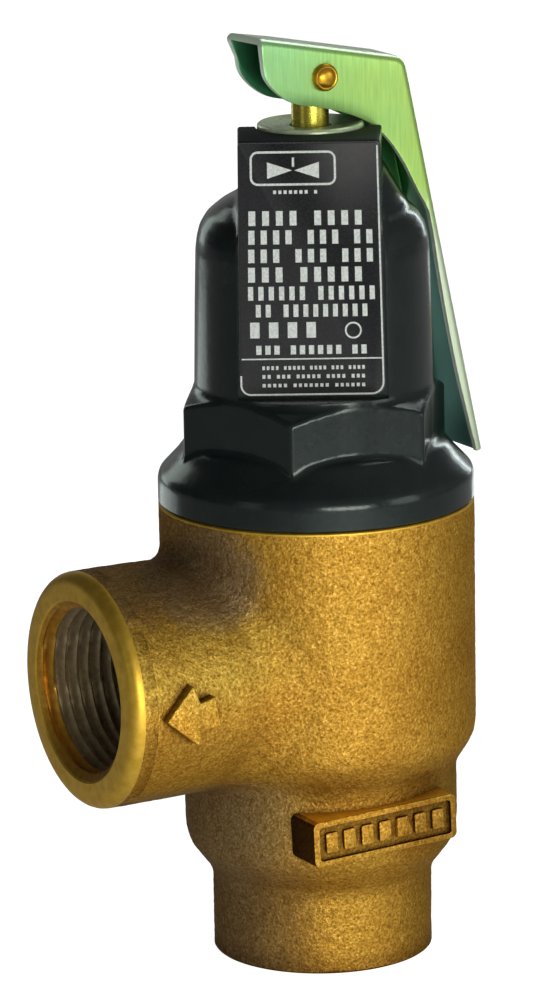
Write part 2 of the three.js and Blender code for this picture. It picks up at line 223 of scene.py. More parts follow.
def apply_modifiers(piece):
    graph = bpy.context.evaluated_depsgraph_get()
    mesh = bpy.data.meshes.new_from_object(piece.evaluated_get(graph))
    old = piece.data
    piece.modifiers.clear()
    piece.data = mesh
    mesh.name = piece.name
    bpy.data.meshes.remove(old)


def boolean(piece, cutter, operation="DIFFERENCE", solver="MANIFOLD"):
    """Applies a boolean and uses up the cutter object."""
    modifier = piece.modifiers.new("cut", "BOOLEAN")
    modifier.operation = operation
    modifier.object = cutter
    modifier.solver = solver
    apply_modifiers(piece)
    bpy.data.objects.remove(cutter)


def carve(piece, shape, operation="DIFFERENCE", solver="MANIFOLD"):
    boolean(piece, make_object("cutter", shape), operation, solver)


def bevel(piece, width, segments=2, angle=50):
    modifier = piece.modifiers.new("bevel", "BEVEL")
    modifier.width = width * MM
    modifier.segments = segments
    modifier.limit_method = "ANGLE"
    modifier.angle_limit = math.radians(angle)
    modifier.use_clamp_overlap = True
    apply_modifiers(piece)


def join(name, parts):
    """One object from several, kept as separate shells."""
    verts, faces, base = [], [], 0
    for part in parts:
        verts.append(read_vectors(part.data.vertices, "co"))
        faces += [[base + i for i in face.vertices] for face in part.data.polygons]
        base += len(part.data.vertices)
        bpy.data.objects.remove(part)
    mesh = bpy.data.meshes.new(name)
    mesh.from_pydata(np.vstack(verts).tolist(), [], faces)
    mesh.update()
    return link_mesh(name, mesh)


# ------------------------------------------------------- implicit cast shapes
# A field is a distance-like function of x, y, z that is negative inside the casting.

def surface_net(field, low, high, step):
    """Closed quad mesh of field = 0, relaxed and drawn onto the surface."""
    low, high = np.array(low, float), np.array(high, float)
    size = np.ceil((high - low) / step).astype(int) + 1
    axes = [low[i] + step * np.arange(size[i]) for i in range(3)]
    values = np.empty(size, np.float32)
    for start in range(0, size[0], 16):     # in slabs, to save memory
        slab = slice(start, start + 16)
        values[slab] = field(*np.meshgrid(axes[0][slab], axes[1], axes[2], indexing="ij"))
    inside = values < 0

    # one vertex per cell that the surface crosses, at the mean of its edge crossings
    span = size - 1
    corners = [(a, b, c) for a in (0, 1) for b in (0, 1) for c in (0, 1)]
    count = np.zeros(span, np.uint8)
    for a, b, c in corners:
        count += inside[a:a + span[0], b:b + span[1], c:c + span[2]]
    cells = np.argwhere((count > 0) & (count < 8))
    index = np.full(span, -1, np.int64)
    index[tuple(cells.T)] = np.arange(len(cells))
    total = np.zeros((len(cells), 3))
    crossings = np.zeros(len(cells))
    for corner in corners:
        for axis in range(3):
            if corner[axis]:
                continue
            other = list(corner)
            other[axis] = 1
            here = values[tuple((cells + np.array(corner)).T)]
            there = values[tuple((cells + np.array(other)).T)]
            cross = (here < 0) != (there < 0)
            share = np.where(cross, here / np.where(cross, here - there, 1), 0)
            place = np.tile(np.array(corner, float), (len(cells), 1))
            place[:, axis] += share
            total += np.where(cross[:, None], place, 0)
            crossings += cross
    verts = low + step * (cells + total / crossings[:, None])

    # one quad per grid edge that the surface crosses
    faces = []
    for axis in range(3):
        side, up = (axis + 1) % 3, (axis + 2) % 3
        first, second = [slice(None)] * 3, [slice(None)] * 3
        first[axis], second[axis] = slice(0, -1), slice(1, None)
        for across in (side, up):
            first[across] = second[across] = slice(1, -1)
        first_inside = inside[tuple(first)]
        edges = np.argwhere(first_inside != inside[tuple(second)])
        around = []
        for side_step, up_step in ((0, 0), (1, 0), (1, 1), (0, 1)):
            cell = edges.copy()
            cell[:, side] += side_step
            cell[:, up] += up_step
            around.append(index[tuple(cell.T)])
        quad = np.stack(around, 1)
        flip = ~first_inside[tuple(edges.T)]
        quad[flip] = quad[flip][:, ::-1]
        faces.append(quad)
    quads = np.vstack(faces)
    quads = quads[(quads >= 0).all(1)]

    project(field, verts, step)
    for _ in range(2):
        near_sum = np.zeros_like(verts)
        near_count = np.zeros(len(verts))
        for a, b in ((0, 1), (1, 2), (2, 3), (3, 0)):
            np.add.at(near_sum, quads[:, a], verts[quads[:, b]])
            np.add.at(near_sum, quads[:, b], verts[quads[:, a]])
            np.add.at(near_count, quads[:, a], 1)
            np.add.at(near_count, quads[:, b], 1)
        verts += 0.5 * (near_sum / near_count[:, None] - verts)
        project(field, verts, step)
    return verts, quads.tolist()


def gradient(field, verts, offset=0.02):
    slope = np.empty_like(verts)
    for i in range(3):
        shift = np.zeros(3)
        shift[i] = offset
        slope[:, i] = (field(*(verts + shift).T) - field(*(verts - shift).T)) / (2 * offset)
    return slope


def project(field, verts, step):
    """Moves vertices onto field = 0, each by at most 0.6 of a grid step at a time."""
    for _ in range(3):
        slope = gradient(field, verts)
        steepness = np.maximum((slope * slope).sum(1), 1e-3)
        move = (field(*verts.T) / steepness)[:, None] * slope
        length = np.linalg.norm(move, axis=1)
        verts -= move * np.minimum(1, 0.6 * step / np.maximum(length, 1e-9))[:, None]


def union(first, second, radius):
    """Union with a fillet."""
    u, v = np.maximum(radius - first, 0), np.maximum(radius - second, 0)
    return np.maximum(radius, np.minimum(first, second)) - np.sqrt(u * u + v * v)


def both(first, second, radius):
    """Intersection with rounded edges."""
    u, v = np.maximum(radius + first, 0), np.maximum(radius + second, 0)
    return np.minimum(-radius, np.maximum(first, second)) + np.sqrt(u * u + v * v)


class Spun:
    """Field of a turned solid from (radius, z) pairs, blurred over soft millimetres."""

    def __init__(self, pairs, soft):
        z = np.arange(pairs[0][1] - 4, pairs[-1][1] + 4, 0.05)
        radius = np.interp(z, [pair[1] for pair in pairs], [pair[0] for pair in pairs])
        weights = np.exp(-0.5 * (np.arange(-40, 41) * 0.05 / soft) ** 2)
        weights /= weights.sum()
        self.z = z[40:-40]
        self.radius = np.convolve(radius, weights, "valid")
        self.scale = 1 / np.sqrt(1 + np.gradient(self.radius, self.z) ** 2)

    def __call__(self, x, y, z):
        away = np.sqrt(x * x + y * y) - np.interp(z, self.z, self.radius)
        return away * np.interp(z, self.z, self.scale)


# ------------------------------------------------------------- pipe thread tap
def thread_tap(mouth_radius, pitch, depth, length, bore_radius, bore_length,
               chamfer_radius, chamfer_depth, around, per_turn):
    """Tap-shaped cutter along +z with its mouth at z = 0 and a plain bore after the thread.
    mouth_radius is the crest's; the taper is 1 in 16 on the diameter."""
    angles = np.linspace(0, 2 * math.pi, around, endpoint=False)
    rings = [(chamfer_radius, -6.0), (chamfer_radius, -0.001)]
    for z in np.arange(0, length + 1e-6, pitch / per_turn)[1:]:
        phase = (z / pitch - angles / (2 * math.pi)) % 1.0
        crest = np.abs(phase - 0.5) * 2                    # 1 at the crest line
        groove = np.clip((0.92 - crest) / 0.82, 0, 1)      # flat crest and root
        fade = np.clip((length - z) / (1.5 * pitch), 0, 1)
        radius = mouth_radius - z / 32.0 + depth * groove * fade
        cone = 0
        if z < chamfer_depth * 3:
            cone = chamfer_radius - z * (chamfer_radius - mouth_radius) / chamfer_depth
        rings.append((np.maximum(radius, cone), z))
    rings += [(bore_radius, length + 0.4), (bore_radius, length + bore_length)]
    sections = [[(r * math.cos(a), r * math.sin(a), z)
                 for a, r in zip(angles, np.broadcast_to(radius, (around,)))]
                for radius, z in rings]
    return sweep_sections(sections)


# ======================================================================= body
# (radius, z) of the cast drum
DRUM = Spun([
    (19.1, -6), (19.1, 13.6), (19.5, 15.3), (21.24, 17.5), (22.95, 19.7), (23.6, 21.9),
    (23.75, 24.1), (23.75, 30.6), (23.6, 32.4), (24.1, 34.3), (25.6, 36.5), (26.85, 38.7),
    (27.2, 40.8), (27.25, 60), (27.3, 90)], soft=0.55)

# (radius, z, fillet): limits of the turned hub bottom and top rim
BODY_LIMITS = [
    (0, 0), (19.3, 0, 1.1), (19.3, 3.0), (90, 3.0), (90, 79.0), (27.36, 79.0), (27.36, 80.5, 0.5),
    (0, 80.5)]

# (radius, distance along -x, fillet): limits of the turned outlet end
OUTLET_LIMITS = [
    (0, OUTLET_END), (20.45, OUTLET_END, 2.3), (20.45, 42.6), (120, 42.6), (120, -120), (0, -120)]

# (radius, z, fillet): chamber, nozzle, seat and bonnet thread
BODY_CAVITY = [
    (0, 17.5), (12.3, 17.5), (12.0, 19.5, 0.8), (8.0, 23.5, 1.5), (8.0, 45.4), (8.6, 46.0),
    (9.6, 46.0, 0.15), (11.0, 44.4, 0.5), (11.6, 38.6, 1.5), (13.2, 37.0, 1.0), (20.0, 37.0, 2.0),
    (22.0, 39.0, 1.5), (22.0, 70.0), (24.0, 70.0), (24.0, 79.6), (24.9, 80.6), (24.9, 82), (0, 82)]

# (x, z) of the raised arrow on the boss
ARROW = [
    (-41.9, 51.5), (-36.7, 57.2), (-35.4, 53.9), (-32.6, 54.7), (-31.5, 49.3), (-34.8, 49.1),
    (-35.9, 46.5)]

TAG_CENTRE = (-1.8, 27.0)           # x and z of the raised tag
TAG_TILT = math.radians(2.2)
TAG_FACE = -25.5                    # y of the tag's border
TAG_PADS, PAD_PITCH = 7, 3.5


def body_field(x, y, z):
    """Drum and outlet boss, with spare length at every turned end."""
    boss_radius = 20.35 + 0.15 * np.clip((-x - 30) / 16, 0, 1)
    boss = np.maximum(np.sqrt(y * y + (z - OUTLET_Z) ** 2) - boss_radius, x - 2)
    shape = union(DRUM(x, y, z), boss, 3.2)
    return np.maximum(np.maximum(shape, z - 84), np.maximum(-3.5 - z, -x - 50.5))


def sand_grain(piece, amount, size):
    """Sand-cast unevenness along the normals, fading out towards the turned ends."""
    mesh = piece.data
    places = read_vectors(mesh.vertices, "co")
    normals = read_vectors(mesh.vertices, "normal")
    height = np.empty(len(places))
    for i, place in enumerate(places):
        at = Vector(place / MM)
        height[i] = (noise.noise(at / size)
                     + 0.6 * noise.noise(at / (size * 0.45) + Vector((7, 3, 5)))
                     + 0.8 * noise.noise(at / (size * 4.5) + Vector((1, 9, 4))))
    local = places / MM - AXIS
    height *= np.clip((local[:, 0] + 44.4) / 2.0, 0, 1) * np.clip(79.3 - local[:, 2], 0.15, 1)
    places += normals * (height * amount * MM)[:, None]
    mesh.vertices.foreach_set("co", places.ravel())
    mesh.update()


def place_tag(shape):
    verts, faces = shape
    x, z = verts[:, 0], verts[:, 2]
    cos, sin = math.cos(TAG_TILT), math.sin(TAG_TILT)
    return np.stack([x * cos - z * sin + TAG_CENTRE[0], verts[:, 1],
                     x * sin + z * cos + TAG_CENTRE[1]], 1), faces


def make_tag():
    """Raised identification tag: a border round a recess with a row of plain pads."""
    tag = make_object("tag", place_tag(prism(rectangle(-14.1, -4.0, 14.1, 4.0, 1.1),
                                             TAG_FACE, -12)))
    bevel(tag, 0.22)
    carve(tag, place_tag(prism(rectangle(-13.0, -3.0, 13.0, 3.0, 0.6),
                               TAG_FACE - 2, TAG_FACE + 0.75)))
    for k in range(TAG_PADS):
        centre = (k - TAG_PADS // 2) * PAD_PITCH
        outline = rectangle(centre - 1.15, -1.75, centre + 1.15, 1.75, 0.35)
        pad = make_object("pad", place_tag(prism(outline, TAG_FACE + 0.1, TAG_FACE + 3.0)))
        bevel(pad, 0.15)
        boolean(tag, pad, "UNION")
    return tag


def make_body():
    step = 0.52
    body = make_object("valve_body", surface_net(body_field, (-52, -30, -5), (30, 30, 86), step))
    sand_grain(body, amount=0.07, size=1.3)
    carve(body, revolve(BODY_LIMITS, 160), "INTERSECT")
    carve(body, to_outlet(revolve(OUTLET_LIMITS, 160)), "INTERSECT")

    arrow = make_object("arrow", prism(round_polygon(ARROW, 0.25), -22.2, -16))
    bevel(arrow, 0.35, segments=3)
    boolean(body, arrow, "UNION")
    boolean(body, make_tag(), "UNION")

    carve(body, revolve(BODY_CAVITY, 128))
    # inlet: 14 threads per inch
    carve(body, thread_tap(
        mouth_radius=12.15, pitch=1.814, depth=1.25, length=16.3, bore_radius=11.9,
        bore_length=2.0, chamfer_radius=14.2, chamfer_depth=1.6, around=112, per_turn=8))
    # outlet: 11.5 threads per inch
    verts, faces = thread_tap(
        mouth_radius=14.2, pitch=2.209, depth=1.4, length=20.0, bore_radius=13.4,
        bore_length=16.0, chamfer_radius=15.85, chamfer_depth=1.3, around=128, per_turn=9)
    verts[:, 2] = OUTLET_END - verts[:, 2]
    carve(body, to_outlet((verts, faces)))
    shade(body, 36)
    return body


body = make_body()

# ===================================================================== bonnet
PLATE_TURN = math.radians(-30.3)
PLATE_ALONG = (math.cos(PLATE_TURN), math.sin(PLATE_TURN))      # across the plate, in xy
PLATE_OUT = (math.sin(PLATE_TURN), -math.cos(PLATE_TURN))       # out of the plate, in xy
PLATE_SEAT = 15.2                   # distance from the axis to the flat under the plate
PLATE_LEFT, PLATE_RIGHT = -12.5, 12.25
PLATE_LOW, PLATE_HIGH = 101.7, 145.2
HEX_NORMALS = [math.radians(80.7 + 60 * k) for k in range(6)]

# (radius, z) of the dome, the skirt below the hexagon and the hexagon's turned top
DOME = Spun([
    (20.65, 78), (20.65, 101.4), (20.3, 115.4), (20.0, 124.5), (19.74, 126.6), (19.2, 128.65),
    (17.95, 130.7), (15.44, 132.75), (12.6, 134.2)], soft=0.35)
SKIRT = Spun([
    (27.3, 70), (27.3, 84.7), (26.95, 85.9), (24.1, 88.9), (22.7, 90.7), (19.5, 92.6), (5, 97)],
    soft=0.28)
CROWN = Spun([
    (28, 70), (26.5, 96.6), (24.6, 97.6), (23.7, 98.5), (22.4, 99.3), (21.2, 100.0),
    (20.5, 100.9), (12, 104)], soft=0.3)

# (radius, z, fillet): the turned rim's limits, the spigot and the bore
BONNET_LIMITS = [(0, 80.6), (27.0, 80.6), (27.6, 81.2), (60, 81.2), (60, 160), (0, 160)]
SPIGOT = [(0, 71.9), (23.2, 71.9), (23.7, 72.4), (23.7, 82.0), (0, 82.0)]
BONNET_BORE = [
    (0, 71), (19.2, 71), (19.2, 84.0, 1.5), (12.7, 90.5, 2.0), (12.7, 128.2, 1.0), (8.0, 131.2),
    (8.0, 144.2), (9.25, 144.2), (9.25, 145.0), (9.6, 145.4), (9.6, 148), (0, 148)]


def taper(lateral, z):
    """Width factor of the land and its plate, which narrow a little towards the top."""
    rise = np.clip((z - PLATE_LOW) / 43.5, 0, 1)
    return 1 - rise * np.where(lateral > 0, 0.055, 0.032)


def bonnet_upper(x, y, z):
    """Dome, top neck and the land under the name plate."""
    radius = np.sqrt(x * x + y * y)
    lateral = x * PLATE_ALONG[0] + y * PLATE_ALONG[1]
    ahead = x * PLATE_OUT[0] + y * PLATE_OUT[1]
    dome = np.maximum(DOME(x, y, z), z - 134.0)
    half = 12.5 + 0.35 * np.clip(1 - ahead / 15.0, 0, 1)
    sides = np.abs(lateral / taper(lateral, z)) - half
    land = both(both(sides, ahead - PLATE_SEAT, 0.3), -ahead, 0.2)
    land = np.maximum(land, 101.0 - z)
    flare = 12.5 + 3.5 * np.clip((lateral - 3.0) / 5.0, 0, 1)
    neck = np.maximum(radius - flare, (radius - 12.2 + (z - 139.4) * 0.56) * 0.872)
    return both(union(dome, np.minimum(neck, land), 0.9), z - 145.4, 0.5)


def bonnet_lower(x, y, z):
    """Hexagon and skirt."""
    flats = [x * math.cos(a) + y * math.sin(a) - HEX_HALF for a in HEX_NORMALS]
    hexagon = flats[0]
    for flat in flats[1:]:
        hexagon = both(hexagon, flat, 0.3)
    hexagon = both(hexagon, CROWN(x, y, z), 0.35)
    return union(hexagon, SKIRT(x, y, z), 0.6)


def bonnet_field(x, y, z):
    lower = np.maximum(bonnet_lower(x, y, z), z - 101.2)
    return np.maximum(union(bonnet_upper(x, y, z), lower, 0.5), 77.0 - z)


def place_plate(shape):
    """Tapers a shape drawn facing -y like the plate and turns it to the plate's direction."""
    verts, faces = shape
    x, y, z = verts.T
    x = x * taper(x, z)
    cos, sin = PLATE_ALONG
    return np.stack([x * cos - y * sin, x * sin + y * cos, z], 1), faces


def make_bonnet():
    step = 0.45
    field = surface_net(bonnet_field, (-29, -29, 75), (29, 29, 147), step)
    bonnet = make_object("bonnet_casting", field)
    carve(bonnet, revolve(BONNET_LIMITS, 160), "INTERSECT")
    carve(bonnet, revolve(SPIGOT, 128), "UNION")
    carve(bonnet, revolve(BONNET_BORE, 128))
    # flat that carries the name plate
    carve(bonnet, place_plate(prism(rectangle(-12.75, 101.25, 12.75, 150.0),
                                    -40.0, -PLATE_SEAT)))
    shade(bonnet, 40)
    return bonnet


def make_plate():
    outline = rounded([(PLATE_LEFT, PLATE_LOW, 2.2), (PLATE_RIGHT, PLATE_LOW, 2.2),
                       (PLATE_RIGHT, PLATE_HIGH, 0.5), (PLATE_LEFT, PLATE_HIGH, 0.5)])
    plate = make_object("name_plate_blank",
                        place_plate(prism(outline, PLATE_FACE, -PLATE_SEAT - 0.02)))
    bevel(plate, 0.1)
    shade(plate, 30)
    return plate


PLATE_FACE = -PLATE_SEAT - 0.5      # y of the plate's face before it is turned
bonnet = make_bonnet()
plate = make_plate()

# ====================================================================== lever
SHEET = 1.2                         # sheet thickness
BEND = 1.5                          # outside radius of the long folds
FOLD_STEPS = 6
LEVER_HALF = 5.0                    # half width above the knee
KNEE_Z, TIP_Z = 131.8, 86.4
FLARE = 1.4                         # widening from the knee to the tip
STATIONS = 400                      # points on each resampled line
OUTER_SKIN, INNER_SKIN, CUT_EDGE, TOP_FACE = range(4)   # material slots

# (x, z, fillet) of the sheet's outer line: nose, bend, knee and tip
OUTER_LINE = rounded([(-11.75, 161.5), (15.9, 155.9, 2.6), (20.95, KNEE_Z, 30.0), (29.35, TIP_Z)])

# (x, z) of the cheeks' free edge, from the nose to the tip
FREE_EDGE = [
    (-11.75, 157.6), (-11.6, 156.0), (-11.2, 154.9), (-10.3, 153.6), (-9.0, 152.3), (-7.5, 151.2),
    (-6.0, 150.35), (-4.4, 149.9), (-2.4, 149.55), (1.0, 148.75), (3.2, 148.15), (5.3, 147.4),
    (7.3, 146.5), (8.9, 145.7), (10.4, 144.5), (11.9, 143.1), (13.3, 141.5), (14.6, 139.6),
    (15.8, 137.7), (16.95, 135.5), (18.0, 133.4), (18.9, 131.8), (19.8, 130.4), (20.6, 128.5),
    (21.0, 126.0), (21.35, 122.7), (22.35, 115.5), (23.5, 108.3), (25.1, 99.6), (26.5, 93.7),
    (27.55, 88.9), (28.1, 87.2)]

# places that belong together: (x, z) near the outer line, (x, z) near the free edge
MATCHES = [
    ((-11.75, 161.5), (-11.75, 157.6)), ((-9, 161.0), (-11.1, 154.7)), ((-6, 160.4), (-8.6, 152.0)),
    ((-3, 159.8), (-5.6, 150.2)), ((2, 158.7), (-2.0, 149.5)), ((7, 157.7), (3.5, 148.1)),
    ((11.5, 156.8), (7.6, 146.4)), ((13.9, 156.3), (9.6, 145.1)), ((15.9, 154.9), (11.4, 143.6)),
    ((16.9, 151), (13.0, 141.9)), ((17.9, 146.3), (14.8, 139.3)), ((19.0, 141.0), (16.6, 136.2)),
    ((20.0, 136.3), (18.3, 132.8)), ((20.6, 133.2), (19.5, 130.8)), ((21.1, 130.8), (20.3, 129.2)),
    ((21.9, 126.7), (21.0, 126.0)), ((22.6, 122.9), (21.35, 122.7)), ((29.1, 87.8), (27.55, 88.9)),
    ((29.35, 86.4), (28.1, 87.2))]


def resample(points):
    line = np.array(points, float)
    travel = np.r_[0, np.cumsum(np.linalg.norm(np.diff(line, axis=0), axis=1))]
    even = np.linspace(0, travel[-1], STATIONS)
    return np.stack([np.interp(even, travel, line[:, i]) for i in range(2)], 1)


def smooth_line(points):
    """Cuts the line's corners twice, keeping its ends."""
    line = [np.array(point, float) for point in points]
    for _ in range(2):
        finer = [line[0]]
        for a, b in zip(line[:-1], line[1:]):
            finer += [0.75 * a + 0.25 * b, 0.25 * a + 0.75 * b]
        finer.append(line[-1])
        line = finer
    return line


def match_stations(line, targets):
    """Rising indices of the points on line that are nearest to the targets."""
    found = [float(np.argmin(np.linalg.norm(line - np.array(target, float), axis=1)))
             for target in targets]
    for k in range(1, len(found)):
        found[k] = max(found[k], found[k - 1] + 0.5)
    return found


def skin(ridge, inward, edge, half, radius, depth):
    """One side of the folded sheet, from the -y cheek's free edge to the +y cheek's."""
    fold_end = ridge + inward * BEND
    cheek = [(fold_end + (edge - fold_end) * share, half) for share in (1.0, 0.75, 0.5, 0.25)]
    for k in range(FOLD_STEPS + 1):
        turn = k / FOLD_STEPS * math.pi / 2
        cheek.append((ridge + inward * (depth + radius - radius * math.sin(turn)),
                      (half - radius) + radius * math.cos(turn)))
    flat = ridge + inward * depth
    return ([(place[0], -y, place[1]) for place, y in cheek]
            + [(flat[0], share * (half - radius) * 1.2, flat[1]) for share in (-0.5, 0.0, 0.5)]
            + [(place[0], y, place[1]) for place, y in reversed(cheek)])


def lever_shape():
    """Folded sheet with open underside, and the material slot of every face."""
    outer = resample(OUTER_LINE)
    free = resample(smooth_line(FREE_EDGE))
    outer_at = match_stations(outer, [match[0] for match in MATCHES])
    free_at = match_stations(free, [match[1] for match in MATCHES])
    stations = np.concatenate([np.linspace(outer_at[0], outer_at[-1], 150), np.array(outer_at)])
    stations = np.unique(np.clip(stations, 0, STATIONS - 1))
    free_stations = np.interp(stations, outer_at, free_at)
    every = np.arange(STATIONS)
    ridges = np.stack([np.interp(stations, every, outer[:, i]) for i in range(2)], 1)
    edges = np.stack([np.interp(free_stations, every, free[:, i]) for i in range(2)], 1)
    tangents = np.gradient(ridges, axis=0)
    tangents /= np.linalg.norm(tangents, axis=1)[:, None]
    inwards = np.stack([tangents[:, 1], -tangents[:, 0]], 1)
    ridges = ridges - inwards * 0.45

    sections = []
    for ridge, edge, inward in zip(ridges, edges, inwards):
        below_knee = max(0.0, (KNEE_Z - ridge[1])) / (KNEE_Z - TIP_Z)
        half = LEVER_HALF * (1 + (FLARE - 1) * below_knee)
        fold_end = ridge + inward * BEND
        if np.dot(edge - fold_end, inward) <= 0.05:
            edge = fold_end + inward * 0.05
        outside = skin(ridge, inward, edge, half, BEND, 0.0)
        inside = skin(ridge, inward, edge, half - SHEET, BEND - SHEET, SHEET)
        sections.append(outside + inside[::-1])
    verts, faces = sweep_sections(sections, ends="open")
    size = len(sections[0])
    side = size // 2
    slots = [OUTER_SKIN] * (side - 1) + [CUT_EDGE] + [INNER_SKIN] * (side - 1) + [CUT_EDGE]
    slots = slots * (len(sections) - 1)

    # the nose's +y corner reaches further towards -x than its -y corner
    nose = (np.clip((verts[:, 2] - 157.5) / 3.5, 0, 1)
            * np.clip((-6 - verts[:, 0]) / 5.5, 0, 1))
    verts[:, 0] -= 1.35 * nose * (verts[:, 1] + 5) / 10

    # end caps: strips between the two skins
    last = (len(sections) - 1) * size
    for k in range(side - 1):
        strip = (k, k + 1, size - 2 - k, size - 1 - k)
        faces.append(strip[::-1])
        faces.append(tuple(last + corner for corner in strip))
        slots += [CUT_EDGE, CUT_EDGE]
    return (verts, faces), slots


PIN_HOLE = to_pin(revolve([(0, -20), (1.66, -20), (1.66, 20), (0, 20)], 40))


def make_lever():
    shape, slots = lever_shape()
    lever = make_object("test_lever_sheet", shape)
    mesh = lever.data
    for k in range(4):      # placeholders, so that the boolean keeps the slot numbers
        mesh.materials.append(bpy.data.materials.new("slot%d" % k))
    mesh.polygons.foreach_set("material_index", slots)
    # upward faces near the top later take a paler copy: painted reflection of the bright
    # surroundings
    for face in mesh.polygons:
        if face.material_index == OUTER_SKIN and face.normal.z > 0.75 and face.center.z > 0.150:
            face.material_index = TOP_FACE
    carve(lever, PIN_HOLE, solver="EXACT")
    bevel(lever, 0.16, angle=62)
    shade(lever, 40)
    return lever


lever = make_lever()


# ============================================================== turned pieces
# Profiles are (radius, z, fillet).

def lathe(name, profile, around=96, angle=32):
    piece = make_object(name, revolve(profile, around))
    shade(piece, angle)
    return piece


def cut_slot(screw, length, width, low, high):
    """Screwdriver slot along x."""
    outline = rectangle(-length / 2, -width / 2, length / 2, width / 2)
    carve(screw, prism(outline, low, high, along="z"))
    shade(screw, 32)


def make_stem():
    """Shank with a ring groove at the foot and a rounded head around the pin."""
    shank, head = 3.2, 3.3
    arc = [(head * math.cos(a), PIN_Z + head * math.sin(a))
           for a in np.linspace(0.25, math.pi / 2 - 0.05, 12)[1:]]
    stem = lathe("stem_rod", [
        (0, 73.7), (2.7, 73.7), (shank, 74.2), (shank, 75.7), (2.5, 75.7), (2.5, 77.0),
        (shank, 77.0), (shank, PIN_Z + 0.7), *arc, (0, PIN_Z + head)], 64, 30)
    carve(stem, PIN_HOLE)
    shade(stem, 30)
    return stem


def make_pin():
    """Rivet along y, with its (radius, y, fillet) profile about the pin's axis."""
    pin = make_object("lever_pin_rivet", to_pin(revolve([
        (0, -6.45), (0.9, -6.38), (1.55, -6.1), (1.75, -5.92), (1.95, -5.98), (2.2, -5.85),
        (2.36, -5.55), (2.36, -5.05), (1.6, -5.05), (1.6, 5.05), (2.2, 5.05), (2.15, 5.5, 0.3),
        (1.4, 5.9, 0.5), (0, 5.98)], 64)))
    shade(pin, 35)
    return pin


def make_diaphragm_nut():
    """Hexagon chamfered by a cone and bored through."""
    corner = 14.2 / math.sqrt(3)
    turns = [math.radians(15 + 60 * k) for k in range(6)]
    outline = [(corner * math.cos(turn), corner * math.sin(turn)) for turn in turns]
    nut = make_object("diaphragm_hex_nut", prism(outline, 68.82, 72.5, along="z"))
    carve(nut, revolve([(0, 68), (9, 68), (9, 71.6), (7.2, 72.7), (0, 72.7)]), "INTERSECT")
    carve(nut, revolve([(0, 60), (3.12, 60), (3.12, 80), (0, 80)], 64))
    shade(nut, 30)
    return nut


stem = make_stem()
pin = make_pin()
washer = lathe("bearing_washer_dished", [
    (3.65, 144.24), (9.1, 144.24), (9.1, 145.7, 0.2), (8.75, 146.02, 0.2), (8.2, 145.98, 0.3),
    (6.2, 145.45, 1.0), (4.6, 145.5, 0.5), (3.65, 145.6, 0.15)], 128, 30)
screw = lathe("adjusting_screw_hollow", [
    (3.5, 129.0), (5.2, 129.0), (7.9, 131.4), (7.9, 142.6), (7.3, 143.2), (3.5, 143.2)])
cut_slot(screw, length=20, width=2.2, low=141.6, high=145)
upper_button = lathe("upper_button", [
    (3.6, 120.8), (6.9, 120.8), (7.8, 121.8), (7.8, 125.0), (12.2, 125.0), (12.2, 127.2, 0.3),
    (6.4, 128.95, 0.5), (3.6, 128.95)])
lower_button = lathe("lower_button", [
    (5.3, 72.6), (8.2, 72.6, 0.3), (9.6, 75.6, 0.8), (12.2, 75.9, 0.2), (12.2, 78.0), (7.8, 78.0),
    (7.8, 82.6), (6.9, 83.6), (3.3, 83.6), (3.3, 77.2), (5.3, 77.2)])
stem_ring = lathe("stem_snap_ring", [
    (2.55, 75.8), (4.9, 75.8, 0.15), (4.9, 76.9, 0.15), (2.55, 76.9)], 64)
slip_ring = lathe("slip_ring_flat", [
    (19.3, 71.22), (23.65, 71.22), (23.65, 71.88), (19.3, 71.88)], 128)
diaphragm = lathe("diaphragm_moulded", [
    (3.15, 66.05), (10.4, 66.05, 0.8), (11.6, 66.6, 0.8), (16.6, 69.3, 0.8), (17.9, 70.02, 0.8),
    (23.65, 70.02), (23.65, 71.2), (17.6, 71.2, 0.8), (16.2, 70.6, 0.8), (11.2, 67.9, 0.8),
    (10.2, 67.2, 0.8), (3.15, 67.2)], 128)
pressure_plate = lathe("pressure_plate", [
    (3.15, 67.22), (9.6, 67.22, 0.4), (10.4, 67.9, 0.4), (10.0, 68.8, 0.3), (3.15, 68.8)])
disc_holder = lathe("disc_carrier", [
    (1.72, 48.66), (10.75, 48.66), (10.75, 46.7), (12.2, 46.7, 0.2), (12.2, 51.2, 0.4),
    (11.2, 52.4, 0.6), (5.6, 54.8, 1.5), (5.0, 56.4, 1.0), (5.0, 62.4, 1.0), (6.0, 63.6, 0.6),
    (9.4, 64.2, 0.3), (9.8, 65.2, 0.3), (9.8, 66.02), (3.05, 66.02), (3.05, 73.0), (2.6, 73.5),
    (0, 73.5), (0, 57.2), (1.72, 56.2)])
seat_disc = lathe("seat_disc_soft", [
    (2.1, 46.02), (10.6, 46.02, 0.2), (10.6, 48.62), (2.1, 48.62)])
disc_washer = lathe("disc_clamp_washer", [
    (1.8, 44.98), (4.8, 44.98, 0.2), (4.8, 46.0), (1.8, 46.0)], 64)
disc_screw = lathe("disc_clamp_screw", [
    (0, 42.9), (2.6, 42.9, 0.4), (3.1, 43.5, 0.3), (3.1, 44.95), (1.62, 44.95), (1.62, 55.6),
    (1.1, 56.1), (0, 56.1)], 64)
cut_slot(disc_screw, length=10, width=0.8, low=42, high=43.7)
diaphragm_nut = make_diaphragm_nut()

# ===================================================================== spring
COIL_RADIUS, WIRE_RADIUS, TURNS = 10.2, 2.0, 8
COIL_LOW, COIL_HIGH = 78.0, 125.0
GROUND = 0.9                                # depth ground off each end
END_RISE = 2 * WIRE_RADIUS + 0.25           # rise of each closed end turn
OPEN_RISE = ((COIL_HIGH - COIL_LOW - 2 * WIRE_RADIUS + 2 * GROUND - 2 * END_RISE)
             / (TURNS - 2))
STEPS_PER_TURN, WIRE_SIDES = 40, 18


